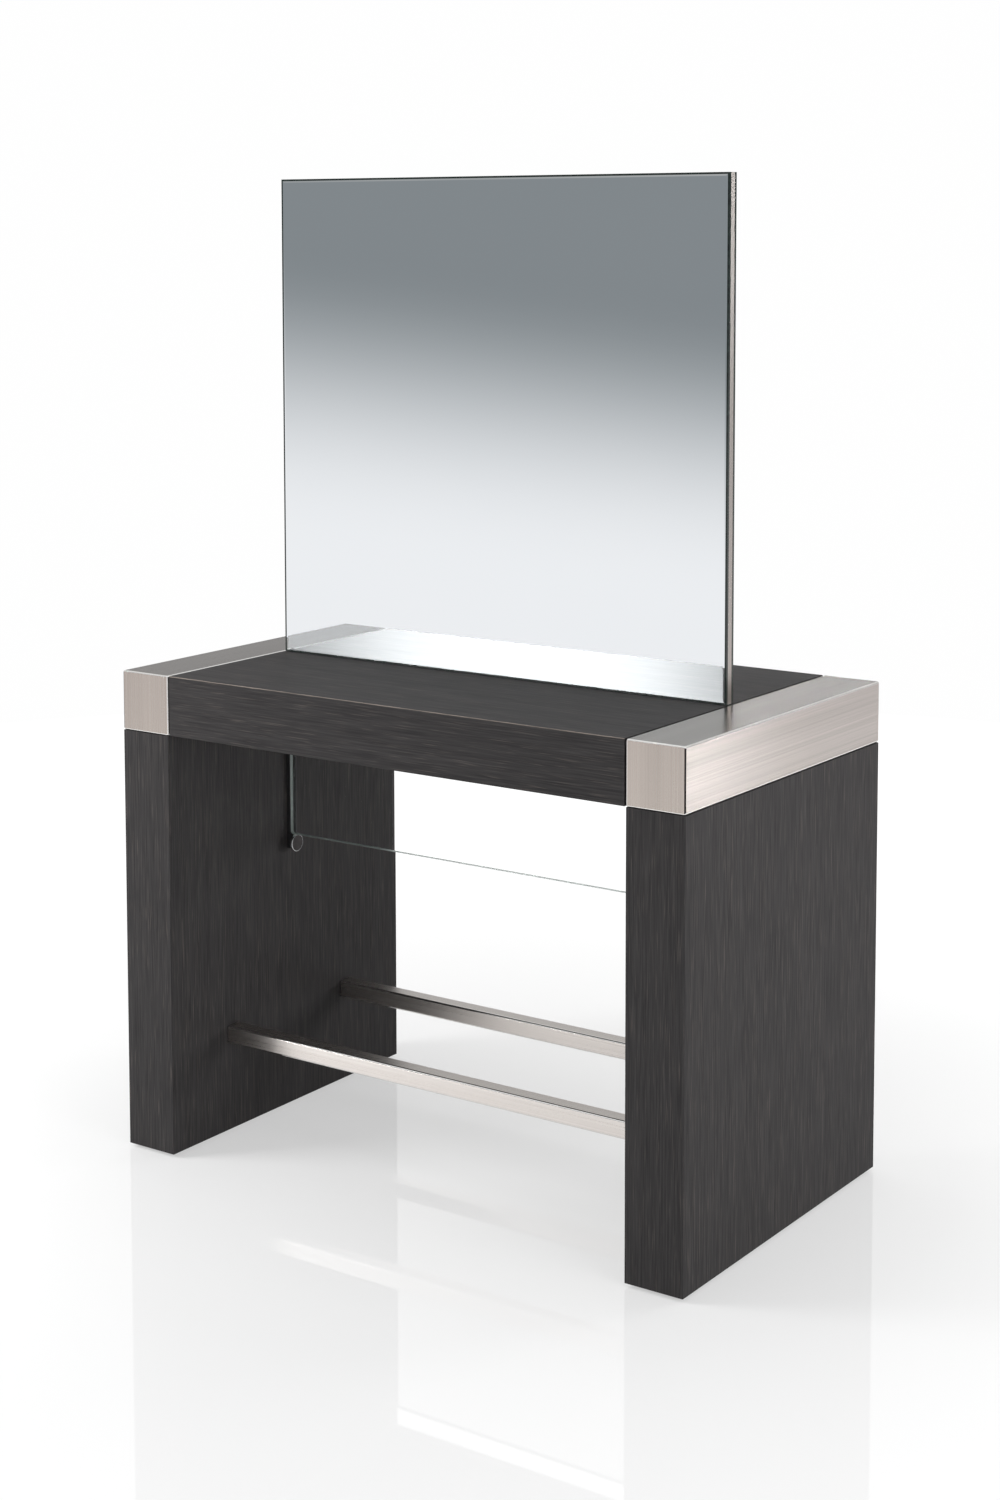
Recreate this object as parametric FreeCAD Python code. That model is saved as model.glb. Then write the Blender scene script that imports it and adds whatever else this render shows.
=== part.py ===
"""Double sided salon station: a table on two slab legs, with a mirror standing along its middle.

Millimetres. +Z is up, +X is right and -Y is the front. The origin lies on the floor, at the centre of the
footprint. The two long sides work the same way, so the station has a front half and a rear half.
"""
import FreeCAD, Part
import math
import os

Vector = FreeCAD.Vector

# ---- Table and legs --------------------------------------------------------------------------------
table_height = 820.0
table_width = 1090.0
table_depth = 620.0
pier_width = 100.0            # thickness of a leg and width of the beam on it
apron_height = 100.0          # height of the beams and thickness of the tabletop
board_thickness = 18.0        # veneered boards, mitred around legs and tabletop
board_arris = 0.8             # small bevel along each outer corner of the boards
leg_ground_gap = 6.0          # bottom of the wood above the floor
beam_seam = 1.0               # shadow gap between leg boards and beam
top_block_height = 60.0
bottom_block_height = 60.0
rail_height = 70.0

# ---- Base plates and levelling feet ----------------------------------------------------------------
base_plate_thickness = 4.0
base_plate_inset = 8.0
foot_edge_distance = 60.0     # centre of a foot from the leg's front or rear face
foot_pad_radius = 20.0
foot_pad_height = 2.6
foot_pad_edge = 0.8
foot_hole_clearance = 1.0     # around the pad, in the base plate
foot_stem_radius = 5.0
foot_stem_rise = 46.0         # stem length above the bottom of the wood
foot_pin_radius = 3.5         # lower end of the stem, turning in the pad
foot_pin_depth = 1.5
foot_collar_flats = 17.0
foot_stop_clearance = 0.3     # between collar and sleeve when fully screwed in
foot_turn_clearance = 0.1     # between collar and pad
running_clearance = 0.05      # radial, for what turns in a bore
sleeve_radius = 8.0
sleeve_length = 40.0

# ---- Beams -----------------------------------------------------------------------------------------
beam_wall = 3.0
beam_corner = 3.0
end_plate_thickness = 3.0
end_plate_edge = 1.5
beam_bolt_radius = 5.0
beam_bolt_edge_distance = 110.0
beam_bolt_bite = 45.0         # depth of a beam bolt in the leg
top_bolt_radius = 4.0
top_bolt_edge_distance = 85.0  # outer pair of top bolts, from the front or rear face
top_bolt_slot_distance = 75.0  # inner pair of top bolts, from the mirror's middle plane
bolt_head_ratio = 1.6         # radius and height of a bolt's head, over its shank's radius
bolt_socket_ratio = 0.6       # radius of the socket in the head, over the shank's radius
bolt_socket_depth_ratio = 0.8
countersink_ratio = 2.0       # radius of a countersunk head, over its shank's radius
screw_point_ratio = 2.0       # length of a screw's point, over its shank's radius
screw_tip_ratio = 0.25        # radius of its tip, over its shank's radius
bolt_hole_clearance = 0.5     # radial, where a bolt passes a metal wall
thread_clearance = 0.05       # radial, where a bolt or screw grips

# ---- Tabletop --------------------------------------------------------------------------------------
top_end_gap = 3.0             # between the tabletop's ends and the beams
spacer_setback = 7.0          # spacers stand back from the visible faces by this much
rib_thickness = 18.0
inner_rib_count = 3

# ---- Mirror panel ----------------------------------------------------------------------------------
mirror_height = 820.0         # top of the panel above the worktop
mirror_side_gap = 4.0         # between the panel's sides and the beams
mirror_thickness = 5.0
mirror_foot_clearance = 0.3   # mirrors stand this far above the gaskets in the slot
tape_thickness = 1.0
tape_width = 20.0
tape_end_margin = 20.0
tape_count = 4
core_thickness = 10.0
core_drop = 226.0             # the core hangs this far below the tabletop
core_corner = 5.0
trim_thickness = 3.0
slot_clearance = 0.3          # between a mirror's face and the slot's edge beside it
gasket_lower_margin = 2.0

# ---- What carries the glass under the tabletop -----------------------------------------------------
profile_below_stud = 10.0     # lower end of the profile under the stud's centre
profile_face_margin = 1.0     # the profile is wider than the glass by this much on each side
profile_edge_clearance = 0.3  # between the glass and the profile
profile_lip_reach = 13.4      # from the leg's inner face
profile_lip_thickness = 2.2
profile_slot_margin = 1.0     # each side, where the profile closes the end of the slot
profile_top_clearance = 1.0   # below the tabletop's upper face
glazing_screw_radius = 2.0
glazing_screw_length = 24.0
glazing_screw_drops = (40.0, 180.0)  # below the tabletop
stud_radius = 15.0
stud_thickness = 5.0
stud_edge = 1.2
stud_shank_radius = 4.0
pad_thickness = 1.0           # nylon pad between the stud and the glass
pad_width = 8.0

# ---- Footrests -------------------------------------------------------------------------------------
footrest_side = 30.0
footrest_wall = 2.0
footrest_corner = 2.0
footrest_height = 175.0       # centre above the floor
footrest_setback = 155.0      # centre of a bar from the table's front or rear face
socket_flange = 1.0
socket_flange_inset = 0.5
socket_stub_length = 30.0
socket_clearance = 0.2        # between stub and tube
footrest_screw_radius = 3.0
footrest_screw_length = 70.0

# ---- Worked out from the sizes above ---------------------------------------------------------------
half_depth = table_depth / 2
outer_half = table_width / 2
inner_half = outer_half - pier_width
pier_center = (outer_half + inner_half) / 2
underside = table_height - apron_height
apron_middle = table_height - apron_height / 2
cavity_near = inner_half + board_thickness
cavity_far = outer_half - board_thickness
cavity_half_depth = half_depth - board_thickness
top_half_length = inner_half - top_end_gap
mirror_half = inner_half - mirror_side_gap
mirror_top = table_height + mirror_height
core_half_width = mirror_half - trim_thickness
core_face = core_thickness / 2
core_bottom = underside - core_drop
tape_face = core_face + tape_thickness
mirror_face = tape_face + mirror_thickness
mirror_bottom = table_height + mirror_foot_clearance
slot_half = mirror_face + slot_clearance
stud_height = core_bottom - pad_thickness - stud_radius
profile_bottom = stud_height - profile_below_stud
footrest_row = half_depth - footrest_setback

SIDES = {"left": -1, "right": 1}
HALVES = {"front": -1, "rear": 1}
X_AXIS = Vector(1, 0, 0)
Y_AXIS = Vector(0, 1, 0)
Z_AXIS = Vector(0, 0, 1)


# ---- Shapes used throughout ------------------------------------------------------------------------
def span(sign, near, far):
    """The stretch from near to far on the side of the middle that sign gives, low end first."""
    return tuple(sorted((sign * near, sign * far)))


def block(x_span, y_span, z_span):
    """A box between three pairs of limits."""
    spans = (x_span, y_span, z_span)
    lengths = [high - low for low, high in spans]
    return Part.makeBox(*lengths, Vector(*[low for low, high in spans]))


def rod(radius, start, direction, length):
    """A cylinder from a point, along a direction."""
    return Part.makeCylinder(radius, length, start, direction)


def prism(points, direction, length):
    """A straight extrusion of a closed outline."""
    return Part.Face(Part.makePolygon(points + points[:1])).extrude(direction * length)


def mitred_outlines(u_span, v_span):
    """Outlines of four boards mitred around a rectangle, as (u, v) points: low u, high u, low v, high v."""
    (u_low, u_high), (v_low, v_high) = u_span, v_span

    def board(u, v_start, v_end, inward):
        bevel = board_arris
        half = board_arris / 2
        depth = board_thickness
        return [
            (u, v_start + bevel),
            (u, v_end - bevel),
            (u + inward * half, v_end - half),
            (u + inward * depth, v_end - depth),
            (u + inward * depth, v_start + depth),
            (u + inward * half, v_start + half),
        ]

    def swapped(points):
        return [(v, u) for u, v in points]

    return [
        board(u_low, v_low, v_high, 1),
        board(u_high, v_low, v_high, -1),
        swapped(board(v_low, u_low, u_high, 1)),
        swapped(board(v_high, u_low, u_high, -1)),
    ]


def bar(width, height, start, axis, length):
    """A rectangular bar that runs along X or Y from the centre of its end."""
    if axis == X_AXIS:
        return Part.makeBox(length, width, height, start - Vector(0, width / 2, height / 2))
    return Part.makeBox(width, length, height, start - Vector(width / 2, 0, height / 2))


def rounded(shape, axis, radius):
    """A shape with its edges along one direction rounded."""
    edges = [edge for edge in shape.Edges if abs(edge.tangentAt(edge.FirstParameter).dot(axis)) > 0.5]
    return shape.makeFillet(radius, edges)


def tube(width, height, wall, corner, start, axis, length):
    """A rectangular tube with rounded outer corners and a sharp bore."""
    outer = rounded(bar(width, height, start, axis, length), axis, corner)
    return outer.cut(bar(width - 2 * wall, height - 2 * wall, start, axis, length))


def hexagon(flats, base, height):
    """An upright hexagonal prism, by its distance across flats."""
    corner = flats / math.sqrt(3)
    angles = [math.radians(60 * step) for step in range(6)]
    points = [base + Vector(corner * math.cos(a), corner * math.sin(a), 0) for a in angles]
    return prism(points, Z_AXIS, height)


def bolt(radius, seat, direction, length):
    """A bolt whose head sits on a seat and whose shank runs along a direction."""
    head_size = radius * bolt_head_ratio
    head = rod(head_size, seat, direction * -1, head_size)
    socket_start = seat - direction * head_size
    socket = rod(radius * bolt_socket_ratio, socket_start, direction, radius * bolt_socket_depth_ratio)
    return head.fuse(rod(radius, seat, direction, length)).cut(socket)


def countersunk_screw(radius, start, direction, length):
    """A countersunk screw, flush with its start point and with a pointed end."""
    head_depth = radius * (countersink_ratio - 1)
    point_length = radius * screw_point_ratio
    point_start = start + direction * (length - point_length)
    head = Part.makeCone(radius * countersink_ratio, radius, head_depth, start, direction)
    shank = rod(radius, start, direction, length - point_length)
    point = Part.makeCone(radius, radius * screw_tip_ratio, point_length, point_start, direction)
    return head.fuse([shank, point])


def countersunk_hole(radius, start, direction, length):
    """The hole that a countersunk screw fills, with the thread clearance around it."""
    return countersunk_screw(radius + thread_clearance, start, direction, length + thread_clearance)


# ---- Places of what repeats ------------------------------------------------------------------------
def foot_places(side):
    """Plan position of each foot under one leg."""
    row = half_depth - foot_edge_distance
    return {half: Vector(side * pier_center, sign * row, 0) for half, sign in HALVES.items()}


def beam_bolt_seats(side):
    """Seat of each bolt that holds a beam on its leg, on the beam's lower wall."""
    row = half_depth - beam_bolt_edge_distance
    seat_height = underside + beam_wall
    return [Vector(side * pier_center, sign * row, seat_height) for sign in HALVES.values()]


def top_bolt_seats(side):
    """Seat of each bolt that holds the tabletop to a beam, on the inside of the beam's inner wall."""
    rows = (half_depth - top_bolt_edge_distance, top_bolt_slot_distance)
    seat_x = side * (inner_half + beam_wall)
    return [Vector(seat_x, sign * row, apron_middle) for sign in HALVES.values() for row in rows]


def footrest_screw_starts(side):
    """Head of each screw that holds a footrest's socket, inside the tube."""
    start_x = side * (inner_half - socket_flange - socket_stub_length)
    return [Vector(start_x, sign * footrest_row, footrest_height) for sign in HALVES.values()]


def glazing_screw_starts(side):
    """Head of each screw that holds a glazing profile, on the face towards the glass."""
    start_x = side * (core_half_width + profile_edge_clearance)
    return [Vector(start_x, 0, underside - drop) for drop in glazing_screw_drops]


def footrest_screw_holes(side):
    """The holes that one leg's footrest screws fill."""
    return [
        countersunk_hole(footrest_screw_radius, start, X_AXIS * side, footrest_screw_length)
        for start in footrest_screw_starts(side)
    ]


def glazing_screw_holes(side):
    """The holes that one leg's glazing screws fill."""
    return [
        countersunk_hole(glazing_screw_radius, start, X_AXIS * side, glazing_screw_length)
        for start in glazing_screw_starts(side)
    ]


def stud_hole(side):
    """The bore that a stud's shank fills."""
    start = Vector(side * (inner_half - profile_lip_reach), 0, stud_height)
    reach = profile_lip_reach + board_thickness
    return rod(stud_shank_radius + thread_clearance, start, X_AXIS * side, reach)


# ---- Legs ------------------------------------------------------------------------------------------
def leg_panels(side):
    """The four mitred boards of one leg."""
    outlines = mitred_outlines(span(side, inner_half, outer_half), (-half_depth, half_depth))
    height = underside - beam_seam - leg_ground_gap

    def upright(outline):
        return prism([Vector(x, y, leg_ground_gap) for x, y in outline], Z_AXIS, height)

    low_x, high_x, low_y, high_y = [upright(outline) for outline in outlines]
    inner, outer = (low_x, high_x) if side > 0 else (high_x, low_x)
    holes = [stud_hole(side)] + footrest_screw_holes(side) + glazing_screw_holes(side)
    return {"inner_panel": inner.cut(holes), "outer_panel": outer, "front_panel": low_y, "rear_panel": high_y}


def leg_block(side, z_span):
    """A timber block that fills the leg's cavity between two heights."""
    return block(span(side, cavity_near, cavity_far), (-cavity_half_depth, cavity_half_depth), z_span)


def leg_core(side):
    """The timber inside one leg: what the beam, the footrests and the feet are fixed in."""
    down = Z_AXIS * -1
    bolt_holes = [
        rod(beam_bolt_radius + thread_clearance, seat, down, beam_wall + beam_bolt_bite)
        for seat in beam_bolt_seats(side)
    ]
    screw_holes = footrest_screw_holes(side) + glazing_screw_holes(side)
    sleeve_holes = [
        rod(sleeve_radius, place + Z_AXIS * leg_ground_gap, Z_AXIS, bottom_block_height)
        for place in foot_places(side).values()
    ]
    top_span = (underside - top_block_height, underside)
    rail_span = (footrest_height - rail_height / 2, footrest_height + rail_height / 2)
    bottom_span = (leg_ground_gap, leg_ground_gap + bottom_block_height)
    return {
        "top_block": leg_block(side, top_span).cut(bolt_holes + screw_holes),
        "footrest_rail": leg_block(side, rail_span).cut(screw_holes),
        "bottom_block": leg_block(side, bottom_span).cut(sleeve_holes),
    }


def base_plate(side):
    """The black plate under one leg, set back from its faces, with a hole for each foot."""
    x_span = span(side, inner_half + base_plate_inset, outer_half - base_plate_inset)
    y_reach = half_depth - base_plate_inset
    low = leg_ground_gap - base_plate_thickness
    plate = block(x_span, (-y_reach, y_reach), (low, leg_ground_gap))
    radius = foot_pad_radius + foot_hole_clearance
    holes = [
        rod(radius, place + Z_AXIS * low, Z_AXIS, base_plate_thickness)
        for place in foot_places(side).values()
    ]
    return plate.cut(holes)


# ---- Levelling feet --------------------------------------------------------------------------------
def foot_pad(place):
    """The pad of one foot, with the blind hole in which the stem turns."""
    pad = rod(foot_pad_radius, place, Z_AXIS, foot_pad_height)
    pad = pad.makeFillet(foot_pad_edge, [edge for edge in pad.Edges if edge.Length > foot_pad_radius])
    hole_start = place + Z_AXIS * (foot_pad_height - foot_pin_depth)
    return pad.cut(rod(foot_pin_radius + running_clearance, hole_start, Z_AXIS, foot_pin_depth))


def foot_stem(place):
    """The threaded stem of one foot, with its hexagonal collar and the pin that turns in the pad."""
    collar_low = foot_pad_height + foot_turn_clearance
    collar_high = leg_ground_gap - foot_stop_clearance
    pin_low = foot_pad_height - foot_pin_depth + foot_turn_clearance
    collar = hexagon(foot_collar_flats, place + Z_AXIS * collar_low, collar_high - collar_low)
    pin = rod(foot_pin_radius, place + Z_AXIS * pin_low, Z_AXIS, collar_low - pin_low)
    rise = leg_ground_gap + foot_stem_rise - collar_high
    stem = rod(foot_stem_radius, place + Z_AXIS * collar_high, Z_AXIS, rise)
    return stem.fuse([collar, pin])


def leveller_sleeve(place):
    """The threaded sleeve in which one stem turns."""
    start = place + Z_AXIS * leg_ground_gap
    outer = rod(sleeve_radius, start, Z_AXIS, sleeve_length)
    return outer.cut(rod(foot_stem_radius + running_clearance, start, Z_AXIS, sleeve_length))


# ---- Beams -----------------------------------------------------------------------------------------
def beam_tube(side):
    """The box beam on one leg, drilled for the bolts that hold it and the tabletop."""
    length = table_depth - 2 * end_plate_thickness
    start = Vector(side * pier_center, end_plate_thickness - half_depth, apron_middle)
    beam = tube(pier_width, apron_height, beam_wall, beam_corner, start, Y_AXIS, length)
    holes = [
        rod(beam_bolt_radius + bolt_hole_clearance, seat, Z_AXIS * -1, beam_wall)
        for seat in beam_bolt_seats(side)
    ]
    holes += [
        rod(top_bolt_radius + bolt_hole_clearance, seat, X_AXIS * -side, beam_wall)
        for seat in top_bolt_seats(side)
    ]
    return beam.cut(holes)


def end_plate(side, half):
    """The plate that closes one end of a beam, with rounded outer edges."""
    start_y = -half_depth if half < 0 else half_depth - end_plate_thickness
    start = Vector(side * pier_center, start_y, apron_middle)
    plate = rounded(bar(pier_width, apron_height, start, Y_AXIS, end_plate_thickness), Y_AXIS, beam_corner)
    outer_face = max(plate.Faces, key=lambda face: half * face.CenterOfMass.y)
    return plate.makeFillet(min(end_plate_edge, 0.8 * end_plate_thickness), outer_face.Edges)


def beam_bolts():
    """The bolts that hold the beams on the legs."""
    seats = beam_bolt_seats(-1) + beam_bolt_seats(1)
    return [bolt(beam_bolt_radius, seat, Z_AXIS * -1, beam_wall + beam_bolt_bite) for seat in seats]


def top_bolts():
    """The bolts that hold the tabletop between the beams."""
    length = beam_wall + top_end_gap + rib_thickness
    return [
        bolt(top_bolt_radius, seat, X_AXIS * -side, length)
        for side in SIDES.values()
        for seat in top_bolt_seats(side)
    ]


# ---- Tabletop --------------------------------------------------------------------------------------
def top_panels(half):
    """The four mitred boards of one half of the tabletop."""
    outlines = mitred_outlines(span(half, slot_half, half_depth), (underside, table_height))

    def lengthwise(outline):
        points = [Vector(-top_half_length, y, z) for y, z in outline]
        return prism(points, X_AXIS, 2 * top_half_length)

    low_y, high_y, low_z, high_z = [lengthwise(outline) for outline in outlines]
    slot_panel, edge_panel = (low_y, high_y) if half > 0 else (high_y, low_y)
    return {"top_panel": high_z, "bottom_panel": low_z, "edge_panel": edge_panel, "slot_panel": slot_panel}


def top_ribs():
    """The ribs inside both halves of the tabletop; the end ribs are drilled for the bolts."""
    pitch = 2 * (top_half_length - rib_thickness / 2) / (inner_rib_count + 1)
    y_near = slot_half + board_thickness
    z_span = (underside + board_thickness, table_height - board_thickness)
    bores = [
        rod(top_bolt_radius + thread_clearance, seat, X_AXIS * -side, inner_half)
        for side in SIDES.values()
        for seat in top_bolt_seats(side)
    ]
    ribs = []
    for half in HALVES.values():
        for index in range(inner_rib_count + 2):
            low_x = -top_half_length + index * pitch
            rib = block((low_x, low_x + rib_thickness), span(half, y_near, cavity_half_depth), z_span)
            at_end = index in (0, inner_rib_count + 1)
            ribs.append(rib.cut(bores) if at_end else rib)
    return ribs


def top_spacers():
    """Black strips between the tabletop's ends and the beams."""
    y_near = slot_half + spacer_setback
    z_span = (underside + spacer_setback, table_height - spacer_setback)
    spacers = []
    for side in SIDES.values():
        bores = [
            rod(top_bolt_radius + bolt_hole_clearance, seat, X_AXIS * -side, beam_wall + top_end_gap)
            for seat in top_bolt_seats(side)
        ]
        for half in HALVES.values():
            strip = block(
                span(side, top_half_length, inner_half),
                span(half, y_near, half_depth - spacer_setback),
                z_span,
            )
            spacers.append(strip.cut(bores))
    return spacers


# ---- Mirror panel ----------------------------------------------------------------------------------
def core_glass():
    """The clear pane that carries both mirrors and passes through the tabletop."""
    x_span = (-core_half_width, core_half_width)
    pane = block(x_span, (-core_face, core_face), (core_bottom, mirror_top))

    def at_lower_corner(edge):
        center = edge.CenterOfMass
        low = abs(center.z - core_bottom) < core_corner / 10
        return low and abs(edge.tangentAt(edge.FirstParameter).y) > 0.5

    return pane.makeFillet(core_corner, [edge for edge in pane.Edges if at_lower_corner(edge)])


def mirror(half):
    """The mirror on one side of the core."""
    return block((-mirror_half, mirror_half), span(half, tape_face, mirror_face), (mirror_bottom, mirror_top))


def bonding_tapes():
    """Upright strips of tape between the core and the mirrors."""
    z_span = (mirror_bottom + tape_end_margin, mirror_top - tape_end_margin)
    outermost = core_half_width - tape_end_margin - tape_width / 2
    pitch = 2 * outermost / (tape_count - 1)
    tapes = []
    for half in HALVES.values():
        for index in range(tape_count):
            center = -outermost + index * pitch
            x_span = (center - tape_width / 2, center + tape_width / 2)
            tapes.append(block(x_span, span(half, core_face, tape_face), z_span))
    return tapes


def mirror_trim(side):
    """The steel strip that covers the core's edge between the two mirrors."""
    x_span = span(side, core_half_width, mirror_half)
    return block(x_span, (-tape_face, tape_face), (mirror_bottom, mirror_top))


def slot_gaskets():
    """Rubber strips that grip the core inside the tabletop's slot; the mirrors stand on them."""
    x_span = (-core_half_width, core_half_width)
    z_span = (underside + gasket_lower_margin, table_height)
    return [block(x_span, span(half, core_face, slot_half), z_span) for half in HALVES.values()]


# ---- What carries the glass ------------------------------------------------------------------------
def glazing_profile(side):
    """The black profile on a leg's inner face: a web beside the glass, a lip behind it, a block below.

    The web goes on upwards between beam and glass, and closes the end of the tabletop's slot.
    """
    web_near = core_half_width + profile_edge_clearance
    lip_near = inner_half - profile_lip_reach
    front = -(core_face + profile_face_margin)
    lip_front = core_face + profile_edge_clearance
    lip_rear = lip_front + profile_lip_thickness
    low_top = underside - profile_edge_clearance
    high_top = table_height - profile_top_clearance
    block_top = core_bottom - pad_thickness
    web_low = block(span(side, web_near, inner_half), (front, lip_rear), (profile_bottom, low_top))
    slot_reach = slot_half - profile_slot_margin
    web_high = block(span(side, web_near, inner_half), (-slot_reach, slot_reach), (underside, high_top))
    web_join = block(span(side, web_near, inner_half), (front, -front), (low_top, underside))
    lip = block(span(side, lip_near, inner_half), (lip_front, lip_rear), (profile_bottom, low_top))
    foot = block(span(side, lip_near, inner_half), (front, lip_rear), (profile_bottom, block_top))
    holes = [stud_hole(side)] + glazing_screw_holes(side)
    return web_low.fuse([web_join, web_high, lip, foot]).removeSplitter().cut(holes)


def glazing_screws():
    """The screws that hold the glazing profiles on the legs."""
    return [
        countersunk_screw(glazing_screw_radius, start, X_AXIS * side, glazing_screw_length)
        for side in SIDES.values()
        for start in glazing_screw_starts(side)
    ]


def support_stud(side):
    """The chromed disc that the core stands on, with its shank in the leg."""
    seat = Vector(side * (inner_half - profile_lip_reach), 0, stud_height)
    disc = rod(stud_radius, seat, X_AXIS * -side, stud_thickness)
    rim = [edge for edge in disc.Edges if abs(edge.CenterOfMass.x) < abs(seat.x) - stud_thickness / 2]
    disc = disc.makeFillet(min(stud_edge, 0.4 * stud_thickness), [edge for edge in rim if edge.Closed])
    return disc.fuse(rod(stud_shank_radius, seat, X_AXIS * side, profile_lip_reach + board_thickness))


def setting_pads():
    """Nylon pads between the studs and the core's lower edge."""
    pads = []
    for side in SIDES.values():
        seat_x = inner_half - profile_lip_reach
        flat = stud_thickness - stud_edge
        low = stud_height + math.sqrt(stud_radius ** 2 - (pad_width / 2) ** 2)
        pad = block(span(side, seat_x - flat, seat_x), (-pad_width / 2, pad_width / 2), (low, core_bottom))
        disc = rod(stud_radius, Vector(side * seat_x, 0, stud_height), X_AXIS * -side, stud_thickness)
        pads.append(pad.cut(disc))
    return pads


# ---- Footrests -------------------------------------------------------------------------------------
def footrest(half):
    """One footrest bar between the legs."""
    reach = inner_half - socket_flange
    start = Vector(-reach, half * footrest_row, footrest_height)
    return tube(footrest_side, footrest_side, footrest_wall, footrest_corner, start, X_AXIS, 2 * reach)


def footrest_sockets():
    """The black sockets on the legs over which the footrests slide."""
    flange_half = footrest_side / 2 - socket_flange_inset
    stub_half = footrest_side / 2 - footrest_wall - socket_clearance
    flange_near = inner_half - socket_flange
    sockets = []
    for side in SIDES.values():
        starts = footrest_screw_starts(side)
        for start in starts:
            flange = block(
                span(side, flange_near, inner_half),
                (start.y - flange_half, start.y + flange_half),
                (start.z - flange_half, start.z + flange_half),
            )
            stub = block(
                span(side, flange_near - socket_stub_length, flange_near),
                (start.y - stub_half, start.y + stub_half),
                (start.z - stub_half, start.z + stub_half),
            )
            hole = countersunk_hole(footrest_screw_radius, start, X_AXIS * side, footrest_screw_length)
            sockets.append(flange.fuse(stub).cut(hole))
    return sockets


def footrest_screws():
    """The screws that hold the footrests' sockets on the legs."""
    return [
        countersunk_screw(footrest_screw_radius, start, X_AXIS * side, footrest_screw_length)
        for side in SIDES.values()
        for start in footrest_screw_starts(side)
    ]


# ---- The whole station -----------------------------------------------------------------------------
def station():
    """Every node of the station, by name."""
    nodes = {}
    for side_name, side in SIDES.items():
        for board_name, board in leg_panels(side).items():
            nodes[f"{side_name}_leg_{board_name}"] = board
        for block_name, timber in leg_core(side).items():
            nodes[f"{side_name}_leg_{block_name}"] = timber
        nodes[f"{side_name}_base_plate"] = base_plate(side)
        nodes[f"{side_name}_beam_tube"] = beam_tube(side)
        for half_name, half in HALVES.items():
            nodes[f"{side_name}_beam_{half_name}_plate"] = end_plate(side, half)
        for half_name, place in foot_places(side).items():
            nodes[f"{half_name}_{side_name}_foot_pad"] = foot_pad(place)
            nodes[f"{half_name}_{side_name}_foot_stem"] = foot_stem(place)
        nodes[f"{side_name}_mirror_trim"] = mirror_trim(side)
        nodes[f"{side_name}_glazing_profile"] = glazing_profile(side)
        nodes[f"{side_name}_support_stud"] = support_stud(side)
    for half_name, half in HALVES.items():
        for board_name, board in top_panels(half).items():
            nodes[f"{half_name}_{board_name}"] = board
        nodes[f"{half_name}_mirror"] = mirror(half)
        nodes[f"{half_name}_footrest"] = footrest(half)
    places = [place for side in SIDES.values() for place in foot_places(side).values()]
    groups = {
        "leveller_sleeves": [leveller_sleeve(place) for place in places],
        "beam_bolts": beam_bolts(),
        "top_bolts": top_bolts(),
        "top_ribs": top_ribs(),
        "top_spacers": top_spacers(),
        "bonding_tapes": bonding_tapes(),
        "slot_gaskets": slot_gaskets(),
        "glazing_screws": glazing_screws(),
        "setting_pads": setting_pads(),
        "footrest_sockets": footrest_sockets(),
        "footrest_screws": footrest_screws(),
    }
    nodes["core_glass"] = core_glass()
    nodes.update({name: Part.makeCompound(solids) for name, solids in groups.items()})
    return nodes


def main():
    """Write one STEP file per node."""
    os.makedirs("parts", exist_ok=True)
    for name, shape in station().items():
        shape.exportStep(f"parts/{name}.step")


if __name__ == "__main__":
    main()
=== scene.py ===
"""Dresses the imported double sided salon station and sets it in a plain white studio.

Metres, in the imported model's own frame: +Z is up, +X is right and -Y is the front. Each sub-assembly is
a class that builds its pieces and finishes them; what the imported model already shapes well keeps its
mesh and only gets a finish.
"""
import logging
import math
from dataclasses import dataclass
from enum import Enum

import bmesh
import bpy
from mathutils import Matrix, Vector


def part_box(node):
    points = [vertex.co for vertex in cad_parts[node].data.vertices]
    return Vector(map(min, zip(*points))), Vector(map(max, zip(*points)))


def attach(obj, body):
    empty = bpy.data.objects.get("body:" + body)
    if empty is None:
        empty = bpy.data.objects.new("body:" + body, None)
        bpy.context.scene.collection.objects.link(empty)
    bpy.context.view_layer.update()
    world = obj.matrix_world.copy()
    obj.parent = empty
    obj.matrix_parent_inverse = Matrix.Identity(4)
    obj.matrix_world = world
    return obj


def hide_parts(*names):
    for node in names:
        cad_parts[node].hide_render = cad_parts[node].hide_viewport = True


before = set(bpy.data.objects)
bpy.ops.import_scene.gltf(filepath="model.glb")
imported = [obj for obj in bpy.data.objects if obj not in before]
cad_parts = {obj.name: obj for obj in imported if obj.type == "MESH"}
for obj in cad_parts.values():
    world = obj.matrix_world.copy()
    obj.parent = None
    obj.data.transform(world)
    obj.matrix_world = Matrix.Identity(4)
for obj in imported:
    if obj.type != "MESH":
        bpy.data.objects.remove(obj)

logging.basicConfig(level=logging.INFO, format="%(message)s")
LOG = logging.getLogger("station")

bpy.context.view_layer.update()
STATION = "station"
SIDES = {"left": -1.0, "right": 1.0}
HALVES = {"front": -1.0, "rear": 1.0}
TOUCH = 1e-6  # metres within which two points are one
FLAT = 0.995  # least part of a normal along one axis on a face that counts as flat

Colour = tuple[float, float, float, float]
Span = tuple[float, float]
Point = tuple[float, float, float]
Socket = bpy.types.NodeSocket
Shape = bmesh.types.BMesh
Piece = bpy.types.Object

UPWARDS: Point = (0.0, 0.0, 1.0)
OUTWARDS: Point = (1.0, 0.0, 0.0)
INWARDS: Point = (-1.0, 0.0, 0.0)
TURNED_CREASE = 40.0  # degrees above which an edge of a turned piece stays sharp
FINE_CREASE = 35.0  # the same on threads
UNIT: Span = (0.0, 1.0)
NOISE: Span = (0.3, 0.7)  # where most of a noise's values lie


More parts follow.
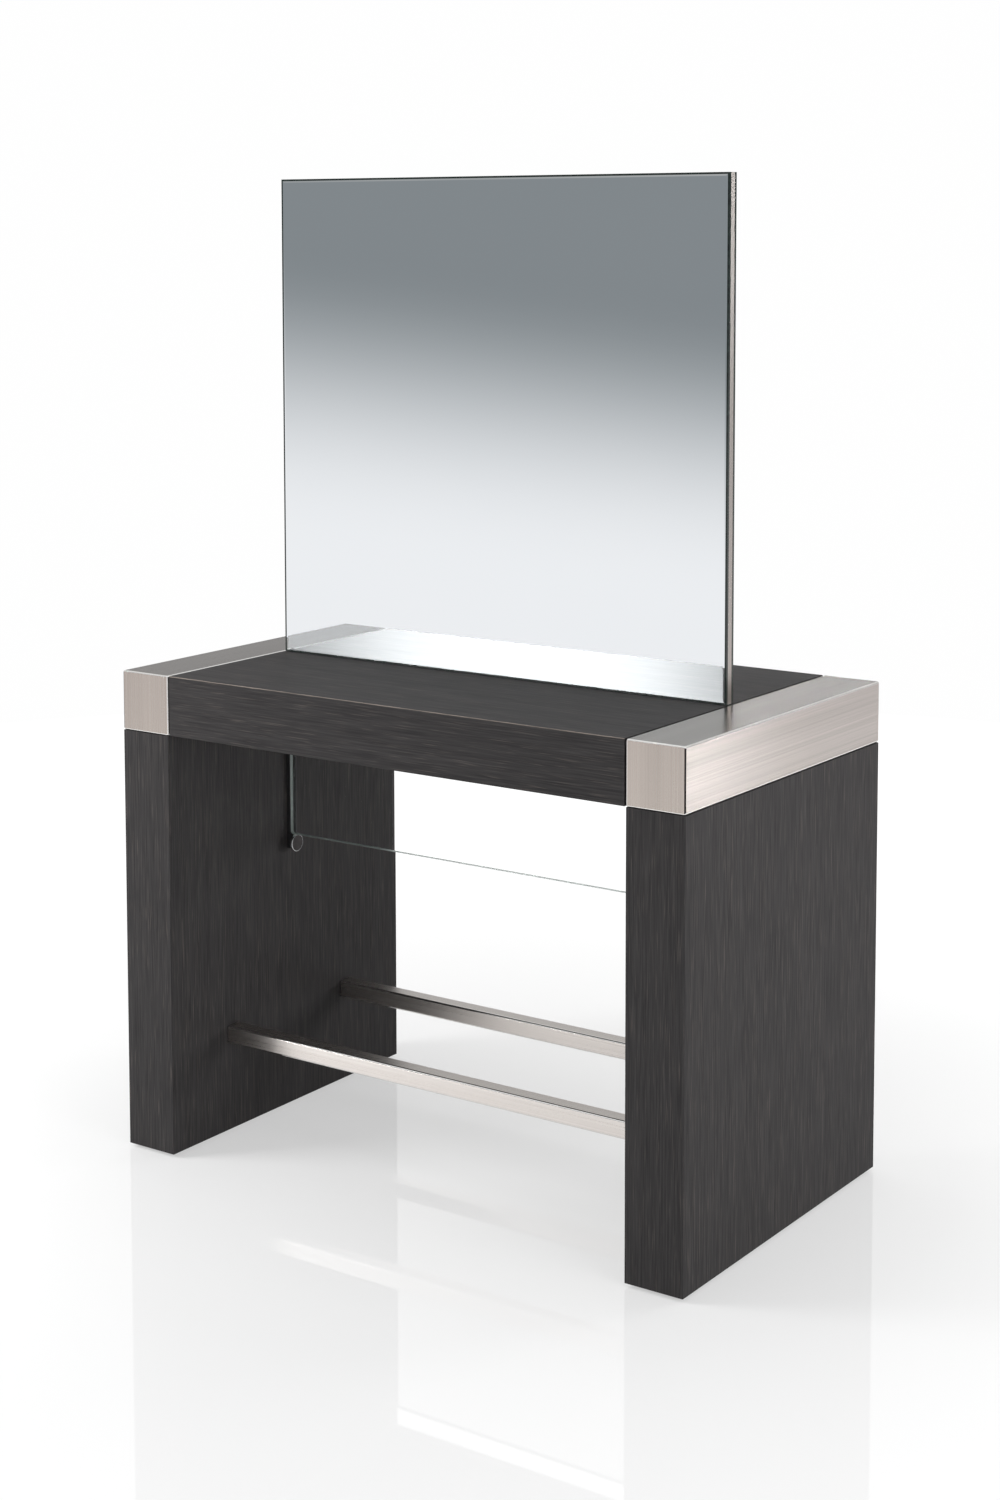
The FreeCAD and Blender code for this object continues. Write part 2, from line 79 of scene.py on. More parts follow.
def linear(value: float) -> float:
    """Undoes a screen's curve for one channel of a colour, written as 0 to 255."""
    share = value / 255
    return share / 12.92 if share <= 0.04045 else ((share + 0.055) / 1.055) ** 2.4


def srgb(red: float, green: float, blue: float) -> Colour:
    """Turns a colour written as 0 to 255 on a screen into linear light, with full alpha."""
    return linear(red), linear(green), linear(blue), 1.0


def grey(level: float) -> Colour:
    """Gives a neutral linear colour."""
    return level, level, level, 1.0


class Axis(Enum):
    """A direction of the station that grain or brushing follows."""

    X = 0
    Y = 1
    Z = 2

    def stretched(self, across: float, along: float) -> Point:
        """Gives each coordinate its features per metre, across or along this axis."""
        return tuple(along if place == self.value else across for place in range(3))

    def turn(self) -> Point:
        """Gives the Euler angles that stand local +Z along this axis."""
        quarter = math.pi / 2
        return ((0.0, quarter, 0.0), (-quarter, 0.0, 0.0), (0.0, 0.0, 0.0))[self.value]


# ---- Node trees ----
class Bench:
    """Lays out the nodes of one tree."""

    def __init__(self, tree: bpy.types.NodeTree) -> None:
        """Takes the tree to fill."""
        self.tree = tree

    def add(self, kind: str, inputs: dict | None = None, **settings: object) -> bpy.types.Node:
        """Adds a node to the tree.

        Args:
            kind: Blender's name of the node type.
            inputs: Values for its input sockets, by name or index; a socket as value is linked.
            **settings: Properties of the node itself.

        Returns:
            The new node.
        """
        node = self.tree.nodes.new(kind)
        for name, value in settings.items():
            setattr(node, name, value)
        for key, value in (inputs or {}).items():
            if isinstance(value, Socket):
                self.tree.links.new(value, node.inputs[key])
            else:
                node.inputs[key].default_value = value
        return node

    def math(self, operation: str, first: object, second: object = 0.0) -> Socket:
        """Adds a sum, product or other arithmetic on two values and returns its result."""
        return self.add("ShaderNodeMath", {0: first, 1: second}, operation=operation).outputs[0]


class ShaderBench(Bench):
    """Lays out a material or world, with the few patterns that the finishes share."""

    LEAF_STEPS: Point = (1.0, 1.7, 2.3)

    def coordinates(self) -> Socket:
        """Gives the place of the shaded point in the station's frame."""
        return self.add("ShaderNodeTexCoord").outputs["Object"]

    def streaks(self, axis: Axis, across: float, along: float, detail: float = 3.0, leaf: float = 0.0,
                wave: float = 0.0) -> Socket:
        """Adds noise drawn out along an axis.

        Args:
            axis: Direction of the streaks.
            across: Features per metre across them.
            along: Features per metre along them.
            detail: Octaves of finer noise.
            leaf: Shifts the pattern, so that two finishes differ.
            wave: Distortion of the pattern.

        Returns:
            A value about one half, mostly between 0.25 and 0.75.
        """
        stretch = self.add("ShaderNodeMapping", {
            "Vector": self.coordinates(),
            "Location": tuple(leaf * step for step in self.LEAF_STEPS),
            "Scale": axis.stretched(across, along),
        })
        noise = self.add("ShaderNodeTexNoise", {
            "Vector": stretch.outputs[0], "Scale": 1.0, "Detail": detail, "Distortion": wave,
        })
        return noise.outputs[0]

    def mottle(self, rate: float, detail: float = 2.0) -> Socket:
        """Adds even noise with a number of features per metre."""
        return self.streaks(Axis.Z, rate, rate, detail)

    def spread(self, value: Socket, source: Span, target: Span) -> Socket:
        """Maps one range of a value on another, clamped at both ends."""
        inputs = {0: value, 1: source[0], 2: source[1], 3: target[0], 4: target[1]}
        return self.add("ShaderNodeMapRange", inputs).outputs[0]

    def ramp(self, value: Socket, stops: list[tuple[float, Colour]]) -> Socket:
        """Colours a value.

        Args:
            value: The value, 0 to 1.
            stops: Place and colour of each stop, in rising order.

        Returns:
            The colour.
        """
        node = self.add("ShaderNodeValToRGB", {0: value})
        elements = node.color_ramp.elements
        for index, (place, colour) in enumerate(stops):
            element = elements[index] if index < 2 else elements.new(place)
            element.position = place
            element.color = colour
        return node.outputs[0]

    def blend(self, share: object, first: object, second: object) -> Socket:
        """Mixes two colours by a share of the second."""
        inputs = {0: share, 6: first, 7: second}
        return self.add("ShaderNodeMix", inputs, data_type="RGBA").outputs[2]

    def relief(self, height: Socket, strength: float, depth: float) -> Socket:
        """Turns a height from 0 to 1 into a normal, by the share that shows and the depth in metres."""
        inputs = {"Height": height, "Strength": strength, "Distance": depth}
        return self.add("ShaderNodeBump", inputs).outputs[0]

    def surface(self, inputs: dict) -> None:
        """Ends a material's tree with one principled surface."""
        shader = self.add("ShaderNodeBsdfPrincipled", inputs).outputs[0]
        self.add("ShaderNodeOutputMaterial", {"Surface": shader})


class Recipe(Bench):
    """A geometry node tree with named inputs."""

    ROUND = 24
    HEXAGON = 6
    ROD_FLATS = 20
    ROWS_PER_TURN = 4.0

    def __init__(self, name: str) -> None:
        """Starts a tree that takes one geometry and gives one back.

        Args:
            name: Name of the tree.
        """
        super().__init__(bpy.data.node_groups.new(name, "GeometryNodeTree"))
        for way in ("INPUT", "OUTPUT"):
            self.tree.interface.new_socket("Geometry", in_out=way, socket_type="NodeSocketGeometry")
        self.source = self.add("NodeGroupInput")
        self.keys: dict[str, str] = {}

    def ask(self, name: str, kind: str = "Float") -> Socket:
        """Adds a named input to the tree.

        Args:
            name: The input's name.
            kind: Its type, as Blender names it: Float, Int, Vector or Material.

        Returns:
            The socket inside the tree.
        """
        item = self.tree.interface.new_socket(name, in_out="INPUT", socket_type=f"NodeSocket{kind}")
        self.keys[name] = item.identifier
        return self.source.outputs[name]

    def join(self, *parts: Socket) -> Socket:
        """Puts several geometries together.

        Args:
            *parts: The geometries.

        Returns:
            All of them as one.
        """
        node = self.add("GeometryNodeJoinGeometry")
        for part in reversed(parts):
            self.tree.links.new(part, node.inputs[0])
        return node.outputs[0]

    def lift(self, shape: Socket, height: Socket) -> Socket:
        """Moves a geometry along Z."""
        offset = self.add("ShaderNodeCombineXYZ", {2: height}).outputs[0]
        return self.add("GeometryNodeTransform", {"Geometry": shape, "Translation": offset}).outputs[0]

    def drum(self, radius: object, foot: object, depth: object, flats: int) -> Socket:
        """Makes a closed drum that hangs under the origin.

        Args:
            radius: Radius of its top.
            foot: Radius of its foot.
            depth: Its height.
            flats: Sides all round.

        Returns:
            The drum.
        """
        inputs = {"Vertices": flats, "Radius Top": radius, "Radius Bottom": foot, "Depth": depth}
        cone = self.add("GeometryNodeMeshCone", inputs).outputs["Mesh"]
        return self.lift(cone, self.math("MULTIPLY", depth, -1.0))

    def thread(self, radius: object, depth: object, pitch: object, length: object) -> Socket:
        """Makes a threaded rod that stands on the origin, with its crests at the radius.

        Args:
            radius: Radius over the crests.
            depth: Depth of the thread.
            pitch: Rise of one turn.
            length: Length of the rod.

        Returns:
            The rod.
        """
        turns = self.math("DIVIDE", length, pitch)
        rows = self.math("CEIL", self.math("MULTIPLY", turns, self.ROWS_PER_TURN))
        rod = self.add("GeometryNodeMeshCylinder", {
            "Vertices": self.ROD_FLATS, "Side Segments": rows, "Radius": radius, "Depth": length,
        }).outputs["Mesh"]
        rod = self.lift(rod, self.math("MULTIPLY", length, 0.5))
        place = self.add("GeometryNodeInputPosition").outputs[0]
        parts = self.add("ShaderNodeSeparateXYZ", {0: place}).outputs
        turn = self.math("DIVIDE", self.math("ARCTAN2", parts[1], parts[0]), math.tau)
        phase = self.math("FRACT", self.math("SUBTRACT", self.math("DIVIDE", parts[2], pitch), turn))
        groove = self.math("ABSOLUTE", self.math("SUBTRACT", self.math("MULTIPLY", phase, 2.0), 1.0))
        share = self.math("DIVIDE", self.math("MULTIPLY", groove, depth), radius)
        kept = self.math("SUBTRACT", 1.0, share)
        scale = self.add("ShaderNodeCombineXYZ", {0: kept, 1: kept, 2: 1.0}).outputs[0]
        cut = self.add("ShaderNodeVectorMath", {0: place, 1: scale}, operation="MULTIPLY").outputs[0]
        return self.add("GeometryNodeSetPosition", {"Geometry": rod, "Position": cut}).outputs[0]

    def give(self, geometry: Socket, finish: Socket, edge: Socket | None = None) -> None:
        """Ends the tree: instances made real, materials set, and out.

        Args:
            geometry: What the tree makes.
            finish: Its material.
            edge: Material of the faces that look along no axis, where they have one of their own.
        """
        made = self.add("GeometryNodeRealizeInstances", {0: geometry}).outputs[0]
        made = self.add("GeometryNodeSetMaterial", {"Geometry": made, "Material": finish}).outputs[0]
        if edge is not None:
            normal = self.add("GeometryNodeInputNormal").outputs[0]
            x, y, z = (self.math("ABSOLUTE", side)
                       for side in self.add("ShaderNodeSeparateXYZ", {0: normal}).outputs)
            turned = self.math("LESS_THAN", self.math("MAXIMUM", self.math("MAXIMUM", x, y), z), FLAT)
            inputs = {"Geometry": made, "Selection": turned, "Material": edge}
            made = self.add("GeometryNodeSetMaterial", inputs).outputs[0]
        self.add("NodeGroupOutput", {0: made})

    def cook(self, piece: Piece, values: dict[str, object]) -> None:
        """Runs the tree on an object and leaves it a plain mesh.

        Args:
            piece: The object; its mesh is the tree's geometry.
            values: A value for each named input.
        """
        step = piece.modifiers.new(self.tree.name, "NODES")
        step.node_group = self.tree
        for name, value in values.items():
            step[self.keys[name]] = value
        settle(piece)
        finishes = list(piece.data.materials)
        used = [finishes[face.material_index] for face in piece.data.polygons]
        kept = [finish for finish in dict.fromkeys(finishes) if finish in used and finish is not None]
        piece.data.materials.clear()
        for finish in kept:
            piece.data.materials.append(finish)
        for face, finish in zip(piece.data.polygons, used):
            face.material_index = kept.index(finish)


# ---- Meshes ----
def settle(piece: Piece) -> None:
    """Replaces an object's mesh by what its modifiers make of it, and removes them.

    Args:
        piece: The object.
    """
    graph = bpy.context.evaluated_depsgraph_get()
    mesh = bpy.data.meshes.new_from_object(piece.evaluated_get(graph), depsgraph=graph)
    piece.modifiers.clear()
    piece.data = mesh
    mesh.name = piece.name


def soften(piece: Piece, crease: float = 50.0) -> Piece:
    """Shades a piece smooth up to an angle, with its flat faces kept flat.

    Args:
        piece: The object.
        crease: Angle in degrees above which an edge stays sharp.

    Returns:
        The same object.
    """
    for face in piece.data.polygons:
        face.use_smooth = True
    piece.data.set_sharp_from_angle(angle=math.radians(crease))
    weights = piece.modifiers.new("flat_faces", "WEIGHTED_NORMAL")
    weights.keep_sharp = True
    settle(piece)
    return piece


def install(piece: Piece, body: str, node: str) -> None:
    """Hands a finished piece to the frame.

    Args:
        piece: The piece, in its place.
        body: The body that it moves with.
        node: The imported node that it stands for.
    """
    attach(piece, body)
    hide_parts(node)
    LOG.info("made %s: %d faces", piece.name, len(piece.data.polygons))


def lathe(profile: list[Span], steps: int) -> Shape:
    """Turns a half profile about the Z axis into a closed shape.

    Args:
        profile: Radius and height of each point, from the axis round to the axis again, lowest first.
        steps: Flats in one turn.

    Returns:
        The closed shape.
    """
    shape = bmesh.new()
    rings = []
    for radius, height in profile:
        count = steps if radius > 0.0 else 1
        angles = [math.tau * step / steps for step in range(count)]
        places = [(radius * math.cos(angle), radius * math.sin(angle), height) for angle in angles]
        rings.append([shape.verts.new(place) for place in places])
    for low, high in zip(rings, rings[1:]):
        for step in range(steps):
            after = (step + 1) % steps
            corners = (low[step % len(low)], low[after % len(low)],
                       high[after % len(high)], high[step % len(high)])
            shape.faces.new(list(dict.fromkeys(corners)))
    return shape


def arc(centre: Span, radius: float, start: float, steps: int) -> list[Span]:
    """Gives a half profile's points on a quarter circle that starts at an angle in degrees."""
    angles = [math.radians(start + 90.0 * step / steps) for step in range(steps + 1)]
    return [(centre[0] + radius * math.cos(a), centre[1] + radius * math.sin(a)) for a in angles]


def block(low: Vector, high: Vector) -> Shape:
    """Makes a box.

    Args:
        low: Its lowest corner.
        high: Its highest corner.

    Returns:
        The box.
    """
    shape = bmesh.new()
    bmesh.ops.create_cube(shape, size=1.0)
    for vertex in shape.verts:
        vertex.co = Vector([high[axis] if vertex.co[axis] > 0.0 else low[axis] for axis in range(3)])
    return shape


def edges_along(shape: Shape, axis: Axis) -> list[bmesh.types.BMEdge]:
    """Finds a shape's edges that run along an axis.

    Args:
        shape: The shape.
        axis: The axis.

    Returns:
        The edges.
    """
    across = [other.value for other in Axis if other is not axis]
    return [edge for edge in shape.edges
            if all(abs(edge.verts[0].co[place] - edge.verts[1].co[place]) < TOUCH for place in across)]


def edges_at(shape: Shape, axis: Axis, level: float) -> list[bmesh.types.BMEdge]:
    """Finds a shape's edges that lie at one level of an axis."""
    return [edge for edge in shape.edges
            if all(abs(vertex.co[axis.value] - level) < TOUCH for vertex in edge.verts)]


def round_off(shape: Shape, edges: list[bmesh.types.BMEdge], radius: float, steps: int) -> None:
    """Rounds edges of a shape by a radius, in a number of flats."""
    bmesh.ops.bevel(shape, geom=edges, offset=radius, segments=steps, profile=0.5, affect="EDGES",
                    clamp_overlap=True)


def solids(node: str) -> list[tuple[Vector, Vector]]:
    """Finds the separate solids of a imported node.

    Args:
        node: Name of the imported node.

    Returns:
        The lowest and highest corner of each solid, in the same order at each run.
    """
    shape = bmesh.new()
    shape.from_mesh(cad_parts[node].data)
    bmesh.ops.remove_doubles(shape, verts=shape.verts, dist=TOUCH)
    waiting, found = set(shape.verts), []
    while waiting:
        front, group = [waiting.pop()], []
        while front:
            vertex = front.pop()
            group.append(vertex.co.copy())
            near = {edge.other_vert(vertex) for edge in vertex.link_edges} & waiting
            waiting -= near
            front.extend(near)
        corners = [[pick(point[axis] for point in group) for axis in range(3)] for pick in (min, max)]
        found.append((Vector(corners[0]), Vector(corners[1])))
    shape.free()
    return sorted(found, key=lambda corners: tuple(corners[0]))


# ---- Finishes ----
@dataclass(frozen=True)
class Finish:
    """A finish by name; each kind says how its surface is shaded."""

    name: str

    def shade(self, bench: ShaderBench) -> None:
        """Fills the material's tree on a bench."""
        raise NotImplementedError

    def material(self) -> bpy.types.Material:
        """Gives the finish's material, made at its first use.

        Returns:
            The material.
        """
        title = f"{self.name}_finish"
        made = bpy.data.materials.get(title)
        if made is None:
            made = bpy.data.materials.new(title)
            made.use_nodes = True
            made.node_tree.nodes.clear()
            self.shade(ShaderBench(made.node_tree))
        return made


@dataclass(frozen=True)
class Veneer(Finish):
    """Open grained veneer or timber: fibre, growth bands and short pores along one axis, with a painted
    highlight along any arrises given.

    Each pattern is written as features per metre across and along the grain, and octaves of detail.
    """

    grain: Axis
    leaf: float
    dark: Colour = srgb(45, 44, 45)
    light: Colour = srgb(71, 69, 69)
    pore: Colour = srgb(97, 90, 86)
    roughness: Span = (0.45, 0.6)
    lacquer: float = 0.16
    wave: float = 0.0
    # colour of the painted highlight along the arrises
    arris_highlight: Colour = srgb(178, 166, 155)
    arrises: tuple[tuple[Axis, float], ...] = ()
    arris_width: float = 0.0016
    fibres: Point = (380.0, 10.0, 4.0)
    bands: Point = (60.0, 1.2, 2.0)
    pores: Point = (700.0, 16.0, 1.0)
    patches: Point = (40.0, 16.0, 2.0)
    leaf_step: float = 3.0
    band_share: float = 0.2
    tones: Span = (0.25, 0.75)
    pore_edge: Span = (0.60, 0.74)
    pore_share: Span = (0.0, 0.55)
    pore_depth: float = 0.4
    patch_edge: Span = (0.3, 0.6)
    patch_share: Span = (0.4, 1.0)
    relief: Span = (0.35, 0.00025)
    lacquer_roughness: float = 0.34

    def shade(self, bench: ShaderBench) -> None:
        """Fills the material's tree.

        Args:
            bench: The tree's bench.
        """
        fibre = bench.streaks(self.grain, *self.fibres, self.leaf, self.wave)
        band = bench.streaks(self.grain, *self.bands, self.leaf + self.leaf_step)
        pore = bench.streaks(self.grain, *self.pores, self.leaf + 2 * self.leaf_step, self.wave)
        tone = bench.spread(bench.blend(self.band_share, fibre, band), self.tones, UNIT)
        stained = bench.blend(tone, self.dark, self.light)
        fleck = bench.spread(pore, self.pore_edge, self.pore_share)
        flecked = bench.blend(fleck, stained, self.pore)
        height = bench.math("SUBTRACT", fibre, bench.math("MULTIPLY", fleck, self.pore_depth))
        bench.surface({
            # painted highlight along the arrises, blended over the grain
            "Base Color": bench.blend(self.paint_arris_highlight(bench), flecked, self.arris_highlight),
            "Roughness": bench.spread(fibre, NOISE, self.roughness),
            "Specular IOR Level": 0.0,
            "Coat Weight": self.lacquer,
            "Coat Roughness": self.lacquer_roughness,
            "Normal": bench.relief(height, *self.relief),
        })

    def paint_arris_highlight(self, bench: ShaderBench) -> object:
        """Finds where the painted highlight lies along the arrises, broken into patches.

        Args:
            bench: The material's bench.

        Returns:
            How much of the painted highlight shows, 0 to 1.
        """
        if not self.arrises:
            return 0.0
        place = bench.add("ShaderNodeSeparateXYZ", {0: bench.coordinates()}).outputs
        near = []
        for axis, level in self.arrises:
            away = bench.math("ABSOLUTE", place[axis.value])
            gap = bench.math("ABSOLUTE", bench.math("SUBTRACT", away, level))
            near.append(bench.spread(gap, (0.0, self.arris_width), (1.0, 0.0)))
        both = near[0]
        for other in near[1:]:
            both = bench.math("MULTIPLY", both, other)
        patch = bench.streaks(self.grain, *self.patches, self.leaf + 3 * self.leaf_step)
        return bench.math("MULTIPLY", both, bench.spread(patch, self.patch_edge, self.patch_share))


@dataclass(frozen=True)
class BrushedSteel(Finish):
    """Brushed stainless steel: fine lines along one axis, with a faint cloudiness.

    Each pattern is written as features per metre across and along the brushing, and octaves of detail.
    """

    brushing: Axis
    dark: Colour = srgb(170, 163, 158)
    light: Colour = srgb(200, 193, 188)
    roughness: Span = (0.20, 0.30)
    relief: float = 0.05
    depth: float = 0.00003
    lines: Point = (1500.0, 1.6, 4.0)
    clouds: Point = (30.0, 0.8, 2.0)
    cloud_leaf: float = 2.0
    cloud_share: float = 0.3
    tones: Span = (0.28, 0.72)

    def shade(self, bench: ShaderBench) -> None:
        """Fills the material's tree.

        Args:
            bench: The tree's bench.
        """
        line = bench.streaks(self.brushing, *self.lines)
        cloud = bench.streaks(self.brushing, *self.clouds, self.cloud_leaf)
        tone = bench.spread(bench.blend(self.cloud_share, line, cloud), self.tones, UNIT)
        bench.surface({
            "Base Color": bench.blend(tone, self.dark, self.light),
            "Metallic": 1.0,
            "Roughness": bench.spread(line, NOISE, self.roughness),
            "Normal": bench.relief(line, self.relief, self.depth),
        })


@dataclass(frozen=True)
class Coated(Finish):
    """Powder coat, plastic, rubber, nylon or foam: a fine pebbled skin in one colour.

    Colour and gloss follow the cloud, relief follows the pebble; both are features per metre.
    """

    dark: Colour
    light: Colour
    roughness: Span
    pebble: float = 1400.0
    depth: float = 0.00006
    cloud: float = 120.0
    detail: float = 1.0
    relief: float = 0.3
    metal: float = 0.0

    def shade(self, bench: ShaderBench) -> None:
        """Fills the material's tree.

        Args:
            bench: The tree's bench.
        """
        cloud = bench.mottle(self.cloud)
        bench.surface({
            "Base Color": bench.blend(bench.spread(cloud, NOISE, UNIT), self.dark, self.light),
            "Metallic": self.metal,
            "Roughness": bench.spread(cloud, NOISE, self.roughness),
            "Normal": bench.relief(bench.mottle(self.pebble, self.detail), self.relief, self.depth),
        })


@dataclass(frozen=True)
class Plated(Coated):
    """Plated or polished metal with a barely mottled surface."""

    pebble: float = 810.0
    depth: float = 0.00003
    cloud: float = 90.0
    detail: float = 2.0
    relief: float = 0.05
    metal: float = 1.0


@dataclass(frozen=True)
class Pane(Finish):
    """A pane's surface: clear float glass, its greener and frosted cut edge, or a mirror's silvering."""

    tint: Colour
    haze: Colour
    roughness: Span
    clearness: float = 1.0
    metal: float = 0.0
    bending: float = 1.25
    rate: float = 8.0

    def shade(self, bench: ShaderBench) -> None:
        """Fills the material's tree.

        Args:
            bench: The tree's bench.
        """
        cloud = bench.mottle(self.rate)
        bench.surface({
            "Base Color": bench.blend(cloud, self.tint, self.haze),
            "Metallic": self.metal,
            "Roughness": bench.spread(cloud, NOISE, self.roughness),
            "IOR": self.bending,
            "Transmission Weight": self.clearness,
        })


@dataclass(frozen=True)
class Lacquer(Finish):
    """The studio floor's glossy white, which fades into the surround away from the station."""

    white: float = 0.80
    lift: float = 0.49
    fade: Span = (0.75, 2.0)
    glow: Span = (0.86, 0.995)
    roughness: float = 0.02

    def shade(self, bench: ShaderBench) -> None:
        """Fills the material's tree.

        Args:
            bench: The tree's bench.
        """
        ray = bench.add("ShaderNodeLightPath").outputs
        seen = bench.math("MAXIMUM", ray["Is Camera Ray"], ray["Is Transmission Ray"])
        shown = bench.math("MAXIMUM", seen, ray["Is Glossy Ray"])
        place = {0: bench.coordinates()}
        reach = bench.add("ShaderNodeVectorMath", place, operation="LENGTH").outputs["Value"]
        share = bench.math("MULTIPLY", bench.spread(reach, self.fade, (self.lift, 1.0)), shown)
        bench.surface({
            "Base Color": bench.blend(share, grey(self.white), grey(0.0)),
            "Roughness": self.roughness,
            "Specular IOR Level": 0.5,
            "Emission Color": grey(1.0),
            "Emission Strength": bench.math("MULTIPLY", share, bench.spread(seen, UNIT, self.glow)),
        })


LEG_FACE = Veneer("stained_veneer_leg_face", Axis.Z, 0.0)
LEG_EDGE = Veneer("stained_veneer_leg_edge", Axis.Z, 11.0)
TOP_ARRIS = ((Axis.Y, 0.310), (Axis.Z, 0.820))
TOP_FACE = Veneer("stained_veneer_top", Axis.X, 23.0, lacquer=0.26, arrises=TOP_ARRIS)
TOP_EDGE = Veneer("stained_veneer_top_edge", Axis.X, 37.0, wave=0.25, arrises=TOP_ARRIS)
CORE_TIMBER = Veneer("core_timber", Axis.Y, 5.0, srgb(176, 141, 98), srgb(203, 170, 124),
                     srgb(150, 112, 72), (0.6, 0.8), 0.3)
BEAM_STEEL = BrushedSteel("brushed_beam", Axis.Y, roughness=(0.22, 0.27))
PLATE_STEEL = BrushedSteel("brushed_end_plate", Axis.Z, srgb(175, 166, 159), srgb(211, 201, 193))
TRIM_STEEL = BrushedSteel("brushed_trim", Axis.Z, roughness=(0.26, 0.30), relief=0.015)
BAR_STEEL = BrushedSteel("brushed_bar", Axis.X, srgb(212, 204, 198), srgb(234, 229, 225), (0.26, 0.34))
# Arris finishes for the beams and plates (burnished) and the bars (polished): smoother steel, painted
# much lighter than the brushed faces as a painted highlight.
BURNISHED_HIGHLIGHT = Plated("burnished_arris_highlight", srgb(238, 235, 231), srgb(248, 246, 244), (0.16, 0.24), 2700.0,
                   cloud=300.0)
POLISHED_HIGHLIGHT = Plated("polished_arris_highlight", srgb(232, 230, 227), srgb(242, 240, 238), (0.02, 0.05), 2700.0,
                  cloud=300.0)
# Chrome painted dark: a painted dark reflection on the end plates' outer upright arrises and on the
# studs' faces.
PAINTED_DARK_REFLECTION = Plated("painted_dark_reflection", srgb(46, 44, 44), srgb(58, 55, 55), (0.06, 0.10))
CHROME = Plated("chrome", srgb(226, 228, 230), srgb(238, 240, 241), (0.03, 0.07))
ZINC = Plated("zinc_fixing", srgb(168, 170, 168), srgb(196, 196, 190), (0.28, 0.42), 3600.0, cloud=400.0)
SILVERING = Pane("mirror", (0.90, 0.935, 0.95, 1.0), (0.88, 0.92, 0.94, 1.0), (0.008, 0.014), 0.0,
                 metal=1.0, bending=1.5, rate=3.0)
CLEAR_GLASS = Pane("clear_glass", (0.996, 1.0, 0.998, 1.0), (0.993, 0.999, 0.996, 1.0), (0.0, 0.01))
CUT_EDGE = Pane("cut_glass_edge", (0.58, 0.70, 0.66, 1.0), (0.66, 0.77, 0.73, 1.0), (0.15, 0.3), 0.5)
MIRROR_EDGE = Coated("mirror_cut_edge", srgb(16, 24, 22), srgb(30, 42, 38), (0.12, 0.25), 300.0, 0.00002)
BLACK_PLATE = Coated("black_plate", srgb(20, 20, 21), srgb(28, 28, 29), (0.45, 0.6))
BLACK_PROFILE = Coated("black_profile", srgb(27, 27, 28), srgb(37, 37, 38), (0.35, 0.5))
BLACK_RUBBER = Coated("black_rubber", srgb(14, 14, 14), srgb(22, 22, 22), (0.7, 0.85), 900.0, 0.00008)
BLACK_PLASTIC = Coated("black_plastic", srgb(15, 15, 16), srgb(22, 22, 23), (0.4, 0.55))
FOAM_TAPE = Coated("foam_tape", srgb(196, 196, 192), srgb(216, 216, 212), (0.7, 0.9), 700.0, 0.0001)
CLEAR_NYLON = Coated("clear_nylon", srgb(206, 208, 204), srgb(222, 223, 220), (0.3, 0.45), 500.0,
                     0.00003)
FOOT_NYLON = Coated("foot_nylon", srgb(24, 24, 25), srgb(34, 34, 35), (0.45, 0.6), 800.0, 0.00005)
STUDIO_WHITE = Lacquer("studio_floor")


# ---- Recipes ----
class HollowBar(Recipe):
    """A square tube with rounded corners, from its middle both ways along an axis."""

    LEAST_CORNER = 0.0004

    def __init__(self) -> None:
        """Lays out the tree."""
        super().__init__("hollow_bar")
        width, wall, corner, length = map(self.ask, ("Width", "Wall", "Corner", "Length"))
        steps = self.ask("Corner Steps", "Int")
        turn, place = self.ask("Turn", "Vector"), self.ask("Place", "Vector")
        finish, edge = self.ask("Finish", "Material"), self.ask("Arris Finish", "Material")
        bore = self.math("SUBTRACT", width, self.math("MULTIPLY", wall, 2.0))
        inner = self.math("MAXIMUM", self.math("SUBTRACT", corner, wall), self.LEAST_CORNER)
        rings = self.join(self.ring(width, corner, steps), self.ring(bore, inner, steps))
        end = self.add("GeometryNodeFillCurve", {"Curve": rings}, mode="TRIANGLES").outputs[0]
        drawn = self.add("GeometryNodeExtrudeMesh", {
            "Mesh": end, "Offset Scale": length, "Individual": False,
        }, mode="FACES").outputs["Mesh"]
        closed = self.join(drawn, self.add("GeometryNodeFlipFaces", {"Mesh": end}).outputs[0])
        merged = self.add("GeometryNodeMergeByDistance", {"Geometry": closed, "Distance": TOUCH})
        centred = self.lift(merged.outputs[0], self.math("MULTIPLY", length, -0.5))
        inputs = {"Geometry": centred, "Rotation": turn, "Translation": place}
        self.give(self.add("GeometryNodeTransform", inputs).outputs[0], finish, edge)

    def ring(self, width: object, corner: object, steps: object) -> Socket:
        """Makes one rounded square outline.

        Args:
            width: Width over the flats.
            corner: Corner radius.
            steps: Points in one corner.

        Returns:
            The closed curve.
        """
        square = self.add("GeometryNodeCurvePrimitiveQuadrilateral", {"Width": width, "Height": width})
        return self.add("GeometryNodeFilletCurve", {
            "Curve": square.outputs[0], "Radius": corner, "Count": steps,
        }, mode="POLY").outputs[0]


